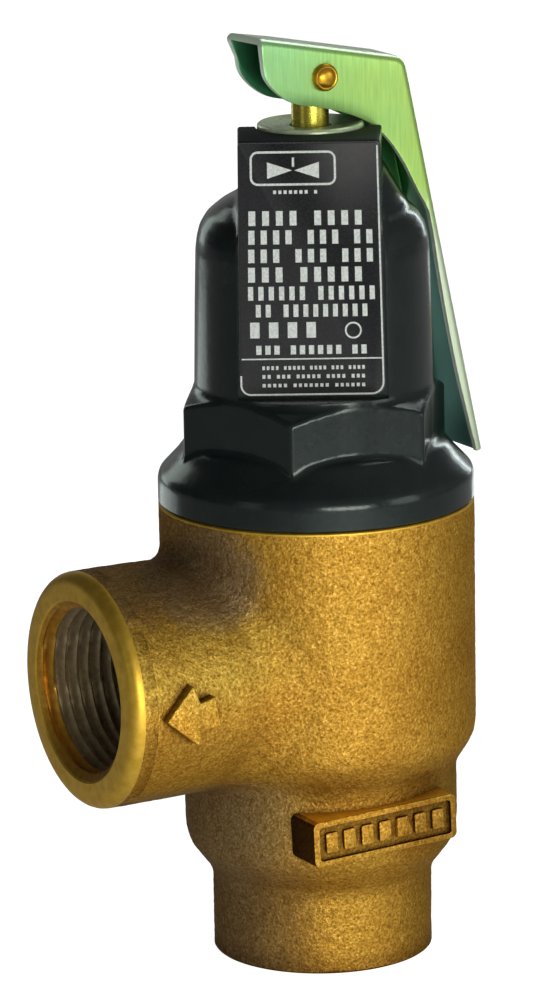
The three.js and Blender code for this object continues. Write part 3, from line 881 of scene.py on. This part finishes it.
def coil_rise(turn):
    if turn < 1:
        return turn * END_RISE
    if turn > TURNS - 1:
        return END_RISE + (TURNS - 2) * OPEN_RISE + (turn - TURNS + 1) * END_RISE
    return END_RISE + (turn - 1) * OPEN_RISE


def coil_point(turn, base=0.0):
    angle = 2 * math.pi * turn
    return np.array([COIL_RADIUS * math.cos(angle), COIL_RADIUS * math.sin(angle),
                     base + coil_rise(turn)])


def make_spring():
    """Coil spring with closed and ground ends."""
    sections = []
    steps = TURNS * STEPS_PER_TURN
    for i in range(steps + 1):
        turn = i / steps * TURNS
        centre = coil_point(turn, COIL_LOW + WIRE_RADIUS - GROUND)
        tangent = unit(coil_point(min(TURNS, turn + 0.01)) - coil_point(max(0, turn - 0.01)))
        angle = 2 * math.pi * turn
        out = np.array([math.cos(angle), math.sin(angle), 0.0])
        up = np.cross(tangent, out)
        sections.append([tuple(centre + WIRE_RADIUS * (out * math.cos(a) + up * math.sin(a)))
                         for a in np.linspace(0, 2 * math.pi, WIRE_SIDES, endpoint=False)])
    spring = make_object("main_spring", sweep_sections(sections))
    carve(spring, revolve([(5, 78.03), (15, 78.03), (15, 124.97), (5, 124.97)], 64), "INTERSECT")
    shade(spring, 40)
    return spring


spring = make_spring()

# =================================================== printed marks on the plate
INK_FRONT, INK_BACK = PLATE_FACE - 0.035, PLATE_FACE + 0.02
EDGE_GAP = 0.32                     # from the plate's rim to the printed edge line

# lines of plain blocks from the top down: left, right, low, high, block count of each group
BLOCK_LINES = [
    (-6.4, 1.2, 136.5, 137.1, [7, 1]),
    (-10.7, 8.9, 131.1, 133.6, [4, 4]),
    (-10.75, 10.7, 127.9, 130.3, [4, 3, 2]),
    (-10.8, 10.7, 124.75, 127.05, [3, 3, 3]),
    (-10.85, 8.7, 121.4, 123.95, [3, 5]),
    (-10.9, 10.85, 118.3, 120.65, [6, 6]),
    (-9.6, 9.5, 115.4, 117.55, [2, 9]),
    (-10.6, 0.6, 111.8, 114.5, [4]),
    (-9.6, 9.2, 108.95, 110.5, [3, 6, 2]),
    (-8.6, 8.8, 106.3, 106.95, [4, 5, 4, 3, 4]),
    (-8.6, 8.8, 104.8, 105.45, [2, 3, 5, 4, 3]),
    (-8.6, 8.8, 103.3, 103.9, [5, 7, 6]),
]
prints = []


def add_print(shape):
    prints.append(make_object("print", place_plate(shape)))


def print_polygon(points):
    add_print(prism(points, INK_FRONT, INK_BACK))


def print_band(first, second, ends="cap"):
    """Band between two matching lines of (x, z) points."""
    add_print(sweep_sections(
        [[(a[0], INK_BACK, a[1]), (a[0], INK_FRONT, a[1]),
          (b[0], INK_FRONT, b[1]), (b[0], INK_BACK, b[1])] for a, b in zip(first, second)], ends))


def print_line(points, width):
    line = np.array(points, float)
    tangents = np.gradient(line, axis=0)
    tangents /= np.linalg.norm(tangents, axis=1)[:, None]
    offset = np.stack([-tangents[:, 1], tangents[:, 0]], 1) * width / 2
    print_band(line + offset, line - offset)


def print_ring(x, z, radius, width):
    outer, inner = [[(x + r * math.cos(a), z + r * math.sin(a))
                     for a in np.radians(np.linspace(0, 360, 41))[:-1]]
                    for r in (radius, radius - width)]
    print_band(outer, inner, ends="loop")


def print_blocks(left, right, low, high, groups):
    fill = 0.50 if high - low > 1.8 else 0.58       # block width in pitches
    space = 0.8                                     # extra gap between groups, in pitches
    total = sum(groups) + space * (len(groups) - 1)
    pitch = (right - left) / (total - (1 - fill))
    x = left
    for count in groups:
        for _ in range(count):
            print_polygon(rectangle(x, low, x + fill * pitch, high))
            x += pitch
        x += space * pitch


def make_prints():
    for block_line in BLOCK_LINES:
        print_blocks(*block_line)
    print_polygon(rectangle(-12.1, 108.05, 11.9, 108.28))
    print_ring(7.0, 113.0, radius=1.45, width=0.3)
    # plain valve symbol in a frame: two triangles tip to tip, and a stem
    border = rectangle(-10.2, 138.1, 4.4, 143.6, 1.2)
    print_line(border + border[:1], 0.38)
    print_polygon([(-7.4, 139.1), (-7.4, 141.9), (-3.1, 140.5)])
    print_polygon([(1.6, 141.9), (1.6, 139.1), (-2.7, 140.5)])
    print_polygon(rectangle(-3.1, 141.1, -2.7, 142.7))
    # thin edge line: lower left corner, bottom, lower right corner, right side
    left, right, low = PLATE_LEFT + EDGE_GAP, PLATE_RIGHT - EDGE_GAP, PLATE_LOW + EDGE_GAP
    print_line(rounded([(left, PLATE_LOW + 3.6), (left, low, 2.0), (right, low, 2.0),
                        (right, PLATE_HIGH - 0.6)]), 0.3)
    printed = join("name_plate_print", prints)
    shade(printed, 30)
    return printed


printed = make_prints()


# ================================================================== materials
class Graph:
    """Short ways to add nodes to the tree of a material or world."""

    def __init__(self, owner, main):
        owner.use_nodes = True
        self.owner = owner
        self.tree = owner.node_tree
        self.main = self.tree.nodes[main]

    def feed(self, socket, value):
        """Links a socket or sets its value; a colour may be given without its alpha."""
        if isinstance(value, bpy.types.NodeSocket):
            self.tree.links.new(value, socket)
        elif socket.type == "RGBA":
            socket.default_value = (*value, 1)
        else:
            socket.default_value = value

    def set(self, inputs, node=None):
        for name, value in inputs.items():
            self.feed((node or self.main).inputs[name], value)

    def node(self, kind, inputs=None, **settings):
        node = self.tree.nodes.new("ShaderNode" + kind)
        for name, value in settings.items():
            setattr(node, name, value)
        self.set(inputs or {}, node)
        return node

    def coords(self, scale=(1, 1, 1)):
        """Object coordinates in millimetres."""
        place = self.node("TexCoord").outputs["Object"]
        scale = [1000 * s for s in scale]
        return self.node("Mapping", {"Vector": place, "Scale": scale}).outputs["Vector"]

    def split(self, vector):
        return self.node("SeparateXYZ", {0: vector}).outputs

    def noise(self, vector, scale, detail=4, rough=0.6, distortion=0.0):
        return self.node("TexNoise", {
            "Vector": vector, "Scale": scale, "Detail": detail, "Roughness": rough,
            "Distortion": distortion}).outputs["Fac"]

    def ramp(self, value, stops):
        """Colour ramp; stops are {position: colour or grey level}."""
        node = self.node("ValToRGB", {"Fac": value})
        elements = node.color_ramp.elements
        while len(elements) < len(stops):
            elements.new(0.5)
        for element, (position, color) in zip(elements, stops.items()):
            element.position = position
            element.color = (*color, 1) if isinstance(color, tuple) else (color,) * 3 + (1,)
        return node.outputs["Color"]

    def mix(self, first, second, share, blend="MIX"):
        inputs = {6: first, 7: second, 0: share}    # colour A, colour B, factor
        return self.node("Mix", inputs, data_type="RGBA", blend_type=blend).outputs[2]

    def multiply(self, first, second, share=1.0):
        return self.mix(first, second, share, "MULTIPLY")

    def tint(self, color, tone, mask):
        return self.multiply(color, self.mix((1, 1, 1), tone, mask))

    def math(self, operation, *values):
        return self.node("Math", dict(enumerate(values)), operation=operation).outputs[0]

    def scaled(self, value, factor, offset):
        return self.math("MULTIPLY_ADD", value, factor, offset)

    def span(self, value, start, end, low=0.0, high=1.0, kind="SMOOTHSTEP"):
        """Maps start..end to low..high."""
        return self.node("MapRange", {
            "Value": value, "From Min": start, "From Max": end, "To Min": low,
            "To Max": high}, interpolation_type=kind).outputs["Result"]

    def bump(self, height, strength, depth, normal=None):
        """Bumped normal; depth is in millimetres."""
        inputs = {"Height": height, "Strength": strength, "Distance": depth * MM}
        if normal is not None:
            inputs["Normal"] = normal
        return self.node("Bump", inputs).outputs["Normal"]

    def pointiness(self):
        return self.node("NewGeometry").outputs["Pointiness"]


def new_material(name):
    return Graph(bpy.data.materials.new(name), "Principled BSDF")


def cast_bronze(name, gain):
    """Grainy bronze, with painted shade in creases, in hollows, on the boss's top and on the low
    sides, and painted highlights on ridges and the upper boss; gain tones the whole.
    """
    mat = new_material(name)
    place = mat.coords()
    x, y, z = mat.split(place)
    fine = mat.noise(place, scale=2.1, detail=3, rough=0.65)
    coarse = mat.noise(place, scale=0.85, detail=3)
    broad = mat.noise(place, scale=0.07, detail=3, rough=0.55)
    color = mat.ramp(fine, {0.30: (0.30, 0.150, 0.016), 0.45: (0.52, 0.285, 0.034),
                            0.56: (0.64, 0.360, 0.052), 0.70: (0.84, 0.54, 0.120)})
    drift = mat.ramp(broad, {0.35: (0.86, 0.80, 0.74), 0.5: 1, 0.68: (1.0, 1.06, 1.12)})
    color = mat.multiply(color, drift, share=0.8)
    mottle = mat.ramp(coarse, {0.38: (0.80, 0.76, 0.70), 0.6: 1})
    color = mat.multiply(color, mottle, share=0.75)
    # painted shade in creases and painted highlight on ridges, from the mesh's pointiness
    edges = mat.ramp(mat.pointiness(),
                     {0.44: (0.30, 0.24, 0.20), 0.5: 1, 0.56: (1.35, 1.32, 1.25)})
    color = mat.multiply(color, edges, share=0.6)
    # painted shade: ambient occlusion darkens hollows, fillets and joins
    hollow = mat.node("AmbientOcclusion", {"Distance": 0.006}, samples=8).outputs["AO"]
    hollow = mat.ramp(hollow, {0.30: (0.14, 0.105, 0.10), 0.62: (0.56, 0.51, 0.52), 0.92: 1})
    color = mat.multiply(color, hollow, share=0.85)

    x = mat.math("SUBTRACT", x, AXIS_X)
    y = mat.math("SUBTRACT", y, AXIS_Y)

    def squared(value, centre, reach):
        offset = mat.scaled(value, factor=1.0 / reach, offset=-centre / reach)
        return mat.math("MULTIPLY", offset, offset)

    # painted shade, brown-tinted, where the boss joins the drum and along the boss's top
    wobble = mat.scaled(mat.noise(place, scale=0.16, rough=0.65), factor=1.2, offset=-0.6)
    near = mat.math("ADD", squared(x, centre=-28.5, reach=12.0), squared(y, centre=-8.0, reach=13.0))
    near = mat.math("ADD", near, squared(z, centre=72.5, reach=10.0))
    painted_boss_shade = mat.span(mat.math("ADD", near, wobble), start=1.5, end=0.25)
    ridge = mat.math("MULTIPLY",
                     mat.span(mat.scaled(wobble, factor=5.0, offset=z), start=65.5, end=70.0),
                     mat.span(x, start=-22.0, end=-30.0))
    painted_boss_shade = mat.math("MAXIMUM", painted_boss_shade, mat.math("MULTIPLY", ridge, 0.65))
    # painted shade on the low zones to the left and right as the camera sees them
    side = mat.scaled(y, factor=-0.49, offset=mat.math("MULTIPLY", x, 0.87))
    painted_shade_low_left = mat.math("MULTIPLY", mat.span(z, start=38.0, end=33.0),
                        mat.span(mat.scaled(wobble, factor=6.0, offset=side),
                                 start=2.0, end=-15.0))
    painted_shade_low_right = mat.math("MULTIPLY", mat.span(z, start=42.0, end=32.0),
                         mat.span(side, start=8.0, end=20.0))
    # the painted shade masks darken and tint the colour here
    color = mat.tint(color, tone=(0.68, 0.82, 2.7), mask=painted_boss_shade)
    color = mat.tint(color, tone=(0.34, 0.58, 3.6), mask=mat.math("MULTIPLY", painted_shade_low_left, 0.5))
    color = mat.tint(color, tone=(0.42, 0.40, 0.50), mask=mat.math("MULTIPLY", painted_shade_low_right, 0.5))
    # painted highlight: a paler, yellower band on the upper boss
    crest = mat.math("MULTIPLY", mat.span(z, start=50.0, end=57.0),
                     mat.span(z, start=69.0, end=64.0))
    crest = mat.math("MULTIPLY", crest, mat.span(x, start=-12.0, end=-24.0))
    color = mat.tint(color, tone=(0.97, 1.13, 1.30), mask=crest)
    under = mat.bump(coarse, strength=0.5, depth=0.35)
    mat.set({"Base Color": mat.multiply(color, gain), "Metallic": 0.92,
             "Specular Tint": (0.42, 0.40, 0.44),
             "Roughness": mat.ramp(fine, {0.3: 0.62, 0.7: 0.44}),
             "Normal": mat.bump(fine, strength=0.7, depth=0.22, normal=under)})
    return mat.owner


def turned_bronze():
    mat = new_material("turned_bronze")
    cloud = mat.noise(mat.coords(), scale=0.5, detail=3)
    fine = mat.noise(mat.coords(), scale=6.0, detail=2, rough=0.5)
    mat.set({"Base Color": mat.ramp(cloud, {0.3: (0.70, 0.43, 0.040), 0.7: (0.92, 0.58, 0.080)}),
             "Metallic": 0.9, "Roughness": 0.42,
             "Normal": mat.bump(fine, strength=0.15, depth=0.05)})
    return mat.owner


def black_enamel():
    """Glossy enamel with a painted highlight on its edges, and dull on the bonnet's top face."""
    mat = new_material("black_enamel_gloss")
    place = mat.coords()
    color = mat.ramp(mat.noise(place, scale=0.25, rough=0.55),
                     {0.3: (0.0070, 0.0108, 0.0112), 0.7: (0.0105, 0.0155, 0.0145)})
    # painted highlight: convex edges paler
    edges = mat.ramp(mat.pointiness(), {0.5: 1, 0.60: (2.2, 2.3, 2.2)})
    top_face = mat.math("GREATER_THAN", mat.split(place)["Z"], 145.2)
    gloss = mat.ramp(mat.noise(place, scale=1.2, detail=3), {0.3: 0.16, 0.75: 0.25})
    under = mat.bump(mat.noise(place, scale=0.35, detail=2, rough=0.5), strength=0.2, depth=0.2)
    fine = mat.noise(place, scale=1.4, detail=2, rough=0.5)
    mat.set({"Base Color": mat.multiply(color, edges, share=0.7),
             "Specular Tint": (0.86, 1.0, 0.92),
             "Roughness": mat.mix(gloss, (0.7, 0.7, 0.7), top_face),
             "Specular IOR Level": mat.scaled(top_face, factor=-0.25, offset=0.42),
             "Normal": mat.bump(fine, strength=0.08, depth=0.05, normal=under)})
    return mat.owner


def plate_black():
    """Black plate with bare metal along its cut edge, painted light grey, which also stands in for
    the edge's highlight.
    """
    mat = new_material("plate_black_print")
    place = mat.coords()
    color = mat.ramp(mat.noise(place, scale=0.9),
                     {0.3: (0.0040, 0.0048, 0.0062), 0.7: (0.0078, 0.0088, 0.0102)})
    # bare metal on convex edges in light grey, also a painted highlight
    edge = mat.ramp(mat.pointiness(), {0.53: 0, 0.62: 1})
    gloss = mat.ramp(mat.noise(place, scale=3.0, detail=3), {0.3: 0.22, 0.7: 0.32})
    soft = mat.noise(place, scale=1.0, detail=2, rough=0.5)
    mat.set({"Base Color": mat.mix(color, (0.42, 0.42, 0.44), edge), "Specular IOR Level": 0.14,
             "Roughness": gloss, "Normal": mat.bump(soft, strength=0.05, depth=0.03)})
    return mat.owner


def white_ink():
    mat = new_material("plate_white_ink")
    cloud = mat.noise(mat.coords(), scale=2.5, rough=0.7)
    mat.set({"Base Color": mat.ramp(cloud, {0.30: (0.44, 0.49, 0.46), 0.6: (0.72, 0.78, 0.74)}),
             "Roughness": 0.5, "Normal": mat.bump(cloud, strength=0.1, depth=0.03)})
    return mat.owner


def plated_sheet(name, gain=(1, 1, 1), pale=0.0, metallic=0.75):
    """Plating that drifts from cool green at the nose to yellow green at the bend.
    pale is the least share of the pale tint, which covers the handle below the bend."""
    mat = new_material(name)
    place = mat.coords()
    x, _, z = mat.split(place)
    wobble = mat.scaled(mat.noise(place, scale=0.12, detail=3, distortion=0.6),
                        factor=0.7, offset=-0.35)
    drift = mat.math("ADD", mat.scaled(x, factor=1 / 40.0, offset=0.10), wobble)
    color = mat.ramp(drift, {0.05: (0.33, 0.67, 0.275), 0.45: (0.385, 0.70, 0.20),
                             0.8: (0.45, 0.72, 0.17)})
    streak = mat.noise(mat.coords(scale=(1.0, 1.0, 0.06)), scale=2.4, detail=3)
    color = mat.multiply(color, mat.ramp(streak, {0.3: 0.80, 0.7: 1.12}), share=0.7)
    handle = mat.span(z, start=134.0, end=122.0, kind="LINEAR")
    paleness = mat.scaled(handle, factor=0.7 * (1 - pale), offset=pale)
    color = mat.mix(color, (0.80, 0.88, 0.78), paleness)
    mat.set({"Base Color": mat.multiply(color, gain), "Metallic": metallic,
             "Roughness": mat.ramp(streak, {0.3: 0.46, 0.7: 0.34}),
             "Normal": mat.bump(streak, strength=0.25, depth=0.05)})
    return mat.owner


def metal(name, dark, light, rough, metallic=0.95, lay=(1, 1, 1), scale=0.8):
    """Clouded metal; lay stretches the clouds along the axes."""
    mat = new_material(name)
    place = mat.coords(lay)
    cloud = mat.noise(place, scale)
    fine = mat.noise(place, scale * 5, detail=2, rough=0.5)
    mat.set({"Base Color": mat.ramp(cloud, {0.3: dark, 0.7: light}), "Metallic": metallic,
             "Roughness": mat.ramp(cloud, {0.3: rough * 1.25, 0.7: rough * 0.85}),
             "Normal": mat.bump(fine, strength=0.12, depth=0.04)})
    return mat.owner


def black_rubber():
    mat = new_material("black_elastomer")
    place = mat.coords()
    cloud = mat.noise(place, scale=1.5)
    fine = mat.noise(place, scale=4.0, detail=3)
    mat.set({"Base Color": mat.ramp(cloud, {0.3: (0.012, 0.011, 0.010),
                                            0.7: (0.026, 0.025, 0.024)}),
             "Roughness": 0.75, "Normal": mat.bump(fine, strength=0.3, depth=0.06)})
    return mat.owner


# darker, duller bronze for the bores past their mouths: painted shade inside them
def bore_bronze_shaded():
    mat = new_material("bronze_bore_dull_painted_shade")
    place = mat.coords()
    cloud = mat.noise(place, scale=0.8)
    fine = mat.noise(place, scale=4.0, detail=2, rough=0.5)
    mat.set({"Base Color": mat.ramp(cloud, {0.3: (0.27, 0.210, 0.115), 0.7: (0.46, 0.360, 0.200)}),
             "Metallic": 0.7, "Roughness": mat.ramp(cloud, {0.3: 0.56, 0.7: 0.44}),
             "Normal": mat.bump(fine, strength=0.15, depth=0.05)})
    return mat.owner


BORE = bore_bronze_shaded()
MOUTH = metal("bronze_bore_mouth", dark=(0.42, 0.20, 0.020), light=(0.66, 0.36, 0.045),
              rough=0.40, metallic=0.85, scale=0.7)
BRONZE = cast_bronze("cast_bronze_grainy", gain=(1, 1, 1))
# darkened copy of the cast bronze: painted shade for the tag's left end face
BRONZE_SHADED = cast_bronze("cast_bronze_painted_shade", gain=(0.16, 0.13, 0.14))
TURNED = turned_bronze()
ENAMEL = black_enamel()
PLATE = plate_black()
INK = white_ink()
LEVER = plated_sheet("green_plated_sheet")
# darkened copy for the inner skin: painted shade inside the channel
LEVER_INSIDE_SHADED = plated_sheet("green_plated_sheet_inside_shaded", gain=(0.15, 0.37, 0.42))
# paler copy for the cut edges: painted highlight
LEVER_EDGE_HIGHLIGHT = plated_sheet("cut_sheet_edge_painted_highlight", pale=0.75, metallic=0.25)
# paler copy for the upward faces: painted reflection of the bright surroundings
LEVER_TOP_SHEEN = plated_sheet("green_plated_sheet_top_painted_sheen", pale=0.72)
BRASS = metal("turned_brass", dark=(0.50, 0.43, 0.050), light=(0.74, 0.66, 0.110),
              rough=0.26, lay=(1, 1, 6), scale=0.5)
PIN_BRASS = metal("riveted_pin_brass", dark=(0.50, 0.27, 0.020), light=(0.78, 0.46, 0.045),
                  rough=0.30, scale=0.6)
TRIM = metal("machined_trim_brass", dark=(0.50, 0.35, 0.10), light=(0.72, 0.55, 0.22),
             rough=0.34, lay=(1, 1, 5), scale=0.5)
BRIGHT = metal("bright_yellow_zinc", dark=(0.50, 0.62, 0.36), light=(0.78, 0.92, 0.62),
               rough=0.30, metallic=0.30, scale=0.4)
STEEL = metal("machined_steel", dark=(0.34, 0.35, 0.36), light=(0.58, 0.59, 0.60),
              rough=0.32, lay=(1, 1, 4), scale=0.6)
WIRE = metal("spring_wire", dark=(0.16, 0.165, 0.175), light=(0.30, 0.31, 0.33),
             rough=0.38, scale=0.9)
RUBBER = black_rubber()


# ================================================== materials and moving groups
def finish(piece, material, rides, node, face_slots=None):
    """Gives a piece its material, its face slots when given and the body it rides on, and hides its
    CAD node.
    """
    piece.data.materials.clear()
    piece.data.materials.append(material)
    if face_slots:
        piece.data.polygons.foreach_set("material_index", face_slots)
    if rides:
        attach(piece, rides)
    if node:
        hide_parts(node)


def finish_spring():
    """Two halves of the spring, cut at mid height."""
    halves = []
    for name, low, high in (("main_spring_lower", 70.0, 101.5),
                            ("main_spring_upper", 101.5, 130.0)):
        half = spring.copy()
        half.data = spring.data.copy()
        half.name = half.data.name = name
        bpy.context.scene.collection.objects.link(half)
        carve(half, revolve([(0, low), (16, low), (16, high), (0, high)], 64), "INTERSECT")
        shade(half, 40)
        finish(half, WIRE, None, "spring")
        halves.append(half)
    bpy.data.objects.remove(spring)
    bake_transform(halves[0])
    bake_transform(halves[1])


def finish_lever():
    face_slots = [face.material_index for face in lever.data.polygons]
    finish(lever, LEVER, "test_lever", "lever", face_slots)
    for extra in (LEVER_INSIDE_SHADED, LEVER_EDGE_HIGHLIGHT, LEVER_TOP_SHEEN):
        lever.data.materials.append(extra)


def assign_machined():
    """Sets the body's machined faces, and the faces darkened as painted shade, by their place."""
    mesh = body.data
    for material in (TURNED, BRONZE_SHADED, BORE, MOUTH):
        mesh.materials.append(material)
    x, y, z = (read_vectors(mesh.polygons, "center") / MM - AXIS).T
    normal = read_vectors(mesh.polygons, "normal")
    outlet_radius = np.hypot(y, z - OUTLET_Z)
    radius = np.hypot(x, y)
    inward = normal[:, 0] * x + normal[:, 1] * y < 0.05 * radius
    chamber = (radius < 25.0) & (z > 17) & inward & (x > -20)
    turned = (x < -45.0) | (z < 0.05) | (z > 79.9) | chamber
    # bores past their mouths take the darker bronze: painted shade
    bored = (((outlet_radius < 17.2) & (x < -20) & (x > -47.2))
             | ((radius < 14.6) & (z < 24) & (z > 0.05)))
    # the tag's left end face takes the darkened bronze: painted shade
    tag_end = ((normal[:, 0] < -0.75) & (y < -17.5) & (x < -14.5) & (x > -17.5)
               & (np.abs(z - 26.5) < 5.5))
    slots = np.select([bored & (x < -44.2), bored, tag_end, turned], [4, 3, 2, 1], 0)
    mesh.polygons.foreach_set("material_index", slots.astype(np.int32))
    mesh.update()


finish(body, BRONZE, "housing", "body")
finish(bonnet, ENAMEL, "housing", "bonnet")
finish(plate, PLATE, "housing", "name_plate")
finish(printed, INK, "housing", None)
finish(washer, BRIGHT, "housing", "bearing_washer")
finish(screw, TRIM, "adjuster", "adjusting_screw")
finish(upper_button, STEEL, "spring_seat", "upper_spring_button")
finish_spring()
finish(lower_button, STEEL, "valve_stem", "lower_spring_button")
finish(stem, BRASS, "valve_stem", "stem")
finish(stem_ring, STEEL, "valve_stem", "stem_retaining_ring")
finish(slip_ring, STEEL, "housing", "slip_ring")
finish(diaphragm, RUBBER, "housing", "diaphragm")
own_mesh(diaphragm)
finish(pressure_plate, TRIM, "valve_stem", "diaphragm_plate")
finish(diaphragm_nut, TRIM, "valve_stem", "diaphragm_nut")
finish(disc_holder, TRIM, "valve_stem", "disc_holder")
finish(seat_disc, RUBBER, "valve_stem", "seat_disc")
finish(disc_washer, STEEL, "valve_stem", "disc_washer")
finish(disc_screw, STEEL, "valve_stem", "disc_screw")
finish(pin, PIN_BRASS, "valve_stem", "lever_pin")
finish_lever()
assign_machined()

# ============================================================ stage and camera
# From here on, places are in metres.
AZIMUTH, ELEVATION, ROLL = (math.radians(angle) for angle in (-29.6, 13.3, -0.91))
FORWARD = Vector((-math.sin(AZIMUTH), math.cos(AZIMUTH), 0))    # level, away from the camera
RIGHT = Vector((math.cos(AZIMUTH), math.sin(AZIMUTH), 0))
CENTRE = Vector((AXIS_X * MM, AXIS_Y * MM, 0.085))


def make_floor():
    """Large floor: near white to the camera, a dimmer lit pool to everything else."""
    mesh = bpy.data.meshes.new("floor")
    corners = [(x, y, -0.0002) for x, y in rectangle(-9, -9, 9, 9)]
    mesh.from_pydata(corners, [], [(0, 1, 2, 3)])
    floor = link_mesh("floor", mesh)
    mat = new_material("floor_pale")
    mat.set({"Base Color": (0.9, 0.9, 0.9), "Roughness": 0.8, "Specular IOR Level": 0.0,
             "Emission Color": (1, 1, 1), "Emission Strength": 0.93})
    place = mat.node("NewGeometry").outputs["Position"]
    away = mat.node("VectorMath", {0: place, 1: (-0.023, -0.258, 0.0)}, operation="DISTANCE")
    pool = mat.span(away.outputs["Value"], start=0.30, end=0.05, low=0.04, high=1.1)
    dim = mat.node("BsdfPrincipled", {
        "Base Color": (0.80, 0.80, 0.80), "Roughness": 0.9, "Specular IOR Level": 0.0,
        "Emission Color": (1, 1, 1), "Emission Strength": pool})
    seen = mat.node("LightPath").outputs["Is Camera Ray"]
    shown = mat.node("MixShader", {0: seen, 1: dim.outputs[0], 2: mat.main.outputs[0]})
    mat.feed(mat.tree.nodes["Material Output"].inputs["Surface"], shown.outputs[0])
    floor.data.materials.append(mat.owner)


def new_light(name, size, power, color):
    light = bpy.data.lights.new(name, "AREA")
    light.shape = "RECTANGLE"
    light.size, light.size_y = size
    light.energy = power
    light.color = color
    return link_mesh(name, light)


def area(name, right, toward, up, size, power, color=(1, 1, 1)):
    """Light aimed at the centre, placed to the right of, towards the camera and above it."""
    lamp = new_light(name, size, power, color)
    lamp.location = CENTRE + RIGHT * right - FORWARD * toward + Vector((0, 0, up))
    lamp.rotation_euler = (CENTRE - lamp.location).to_track_quat("-Z", "Y").to_euler()
    return lamp


def low_strip(name, bearing, size, power, color):
    """Strip just above the floor, half a metre out, shining up.
    The bearing is in degrees from the camera's side of the valve towards its right."""
    lamp = new_light(name, size, power, color)
    angle = math.radians(bearing)
    out = (RIGHT * math.sin(angle) - FORWARD * math.cos(angle)).normalized()
    down = Vector((0, 0, -1))
    place = CENTRE + out * 0.5
    place.z = 0.0006
    lamp.matrix_world = Matrix([(*row, 1 if i == 3 else row_place) for i, (row, row_place) in
                                enumerate(zip([*zip(out.cross(down), out, down), (0, 0, 0)],
                                              [*place, 1]))])
    lamp.visible_camera = False
    return lamp


def make_lights():
    area("key", right=0.45, toward=1.13, up=0.06, size=(0.7, 0.30), power=6.5,
         color=(1.0, 0.97, 0.93))
    area("side", right=1.10, toward=0.50, up=0.05, size=(0.5, 0.8), power=2.4,
         color=(1.0, 0.98, 0.95))
    area("top", right=0.45, toward=-0.5, up=1.0, size=(0.5, 0.5), power=2.0)
    area("fill", right=-1.0, toward=0.9, up=0.15, size=(0.4, 0.8), power=0.5,
         color=(0.95, 0.98, 1.0))
    rims = [
        area("edge_right", right=0.52, toward=-1.0, up=0.45, size=(0.07, 1.3), power=2.6,
             color=(0.90, 1.0, 1.0)),
        area("edge_left", right=-0.75, toward=-0.95, up=0.25, size=(0.35, 1.0), power=1.8,
             color=(0.88, 1.0, 0.94)),
        low_strip("line_right", bearing=160.0, size=(0.06, 0.36), power=0.14,
                  color=(0.90, 1.0, 1.0)),
        low_strip("line_left", bearing=-136.0, size=(0.22, 0.40), power=0.36,
                  color=(0.88, 1.0, 0.96))]
    # the rim lights draw thin lines on these pieces only
    rim_lit = bpy.data.collections.new("rim_lit")
    for piece in (bonnet, plate, lever, washer, stem):
        rim_lit.objects.link(piece)
    for rim in rims:
        rim.light_linking.receiver_collection = rim_lit


def make_world():
    """Room that is pale behind the valve and to the camera's right, and white to the camera."""
    world = bpy.data.worlds.new("world")
    bpy.context.scene.world = world
    room = Graph(world, "Background")
    view = room.node("TexCoord").outputs["Generated"]

    def facing(direction, start, end, gain):
        dot = room.node("VectorMath", {0: view, 1: direction.normalized()},
                        operation="DOT_PRODUCT")
        return room.span(dot.outputs["Value"], start, end, high=gain)

    behind = facing(FORWARD, start=0.70, end=0.98, gain=0.28)
    beside = facing(RIGHT * 0.8 - FORWARD * 0.6, start=-0.2, end=0.9, gain=0.22)
    glow = room.math("ADD", room.math("ADD", behind, beside), 0.045)
    seen = room.node("LightPath").outputs["Is Camera Ray"]
    room.set({"Color": (1, 1, 1), "Strength": room.math("MAXIMUM", glow, seen)})


def make_camera():
    """Camera one metre from the centre, aimed a little to the left of it and below it."""
    distance = 1000.0                               # mm
    aim_left, aim_down = 0.0080731413, 0.0050543385     # slopes of the line of sight
    back = np.array([math.sin(AZIMUTH) * math.cos(ELEVATION),
                     -math.cos(AZIMUTH) * math.cos(ELEVATION), math.sin(ELEVATION)])
    level = unit(np.cross([0, 0, 1], back))
    upright = np.cross(back, level)
    right = math.cos(ROLL) * level + math.sin(ROLL) * upright
    up = -math.sin(ROLL) * level + math.cos(ROLL) * upright
    eye = np.array([AXIS_X, AXIS_Y, 85.0]) + back * distance
    axis_z = unit(back + right * aim_left + up * aim_down)
    axis_x = unit(right - axis_z * (right @ axis_z))
    axis_y = np.cross(axis_z, axis_x)
    matrix = np.eye(4)
    matrix[:3] = np.column_stack([axis_x, axis_y, axis_z, eye * MM])

    lens = bpy.data.cameras.new("camera")
    lens.lens = 208.692
    lens.sensor_width = 36.0
    lens.clip_start = 0.05
    lens.clip_end = 50
    camera = link_mesh("camera", lens)
    camera.matrix_world = Matrix(matrix.tolist())
    bpy.context.scene.camera = camera


make_floor()
make_lights()
make_world()
view_settings = bpy.context.scene.view_settings
view_settings.view_transform = "Standard"
view_settings.look = "None"
view_settings.exposure = 0.0
make_camera()

# =============================================================== end
bpy.context.view_layer.update()
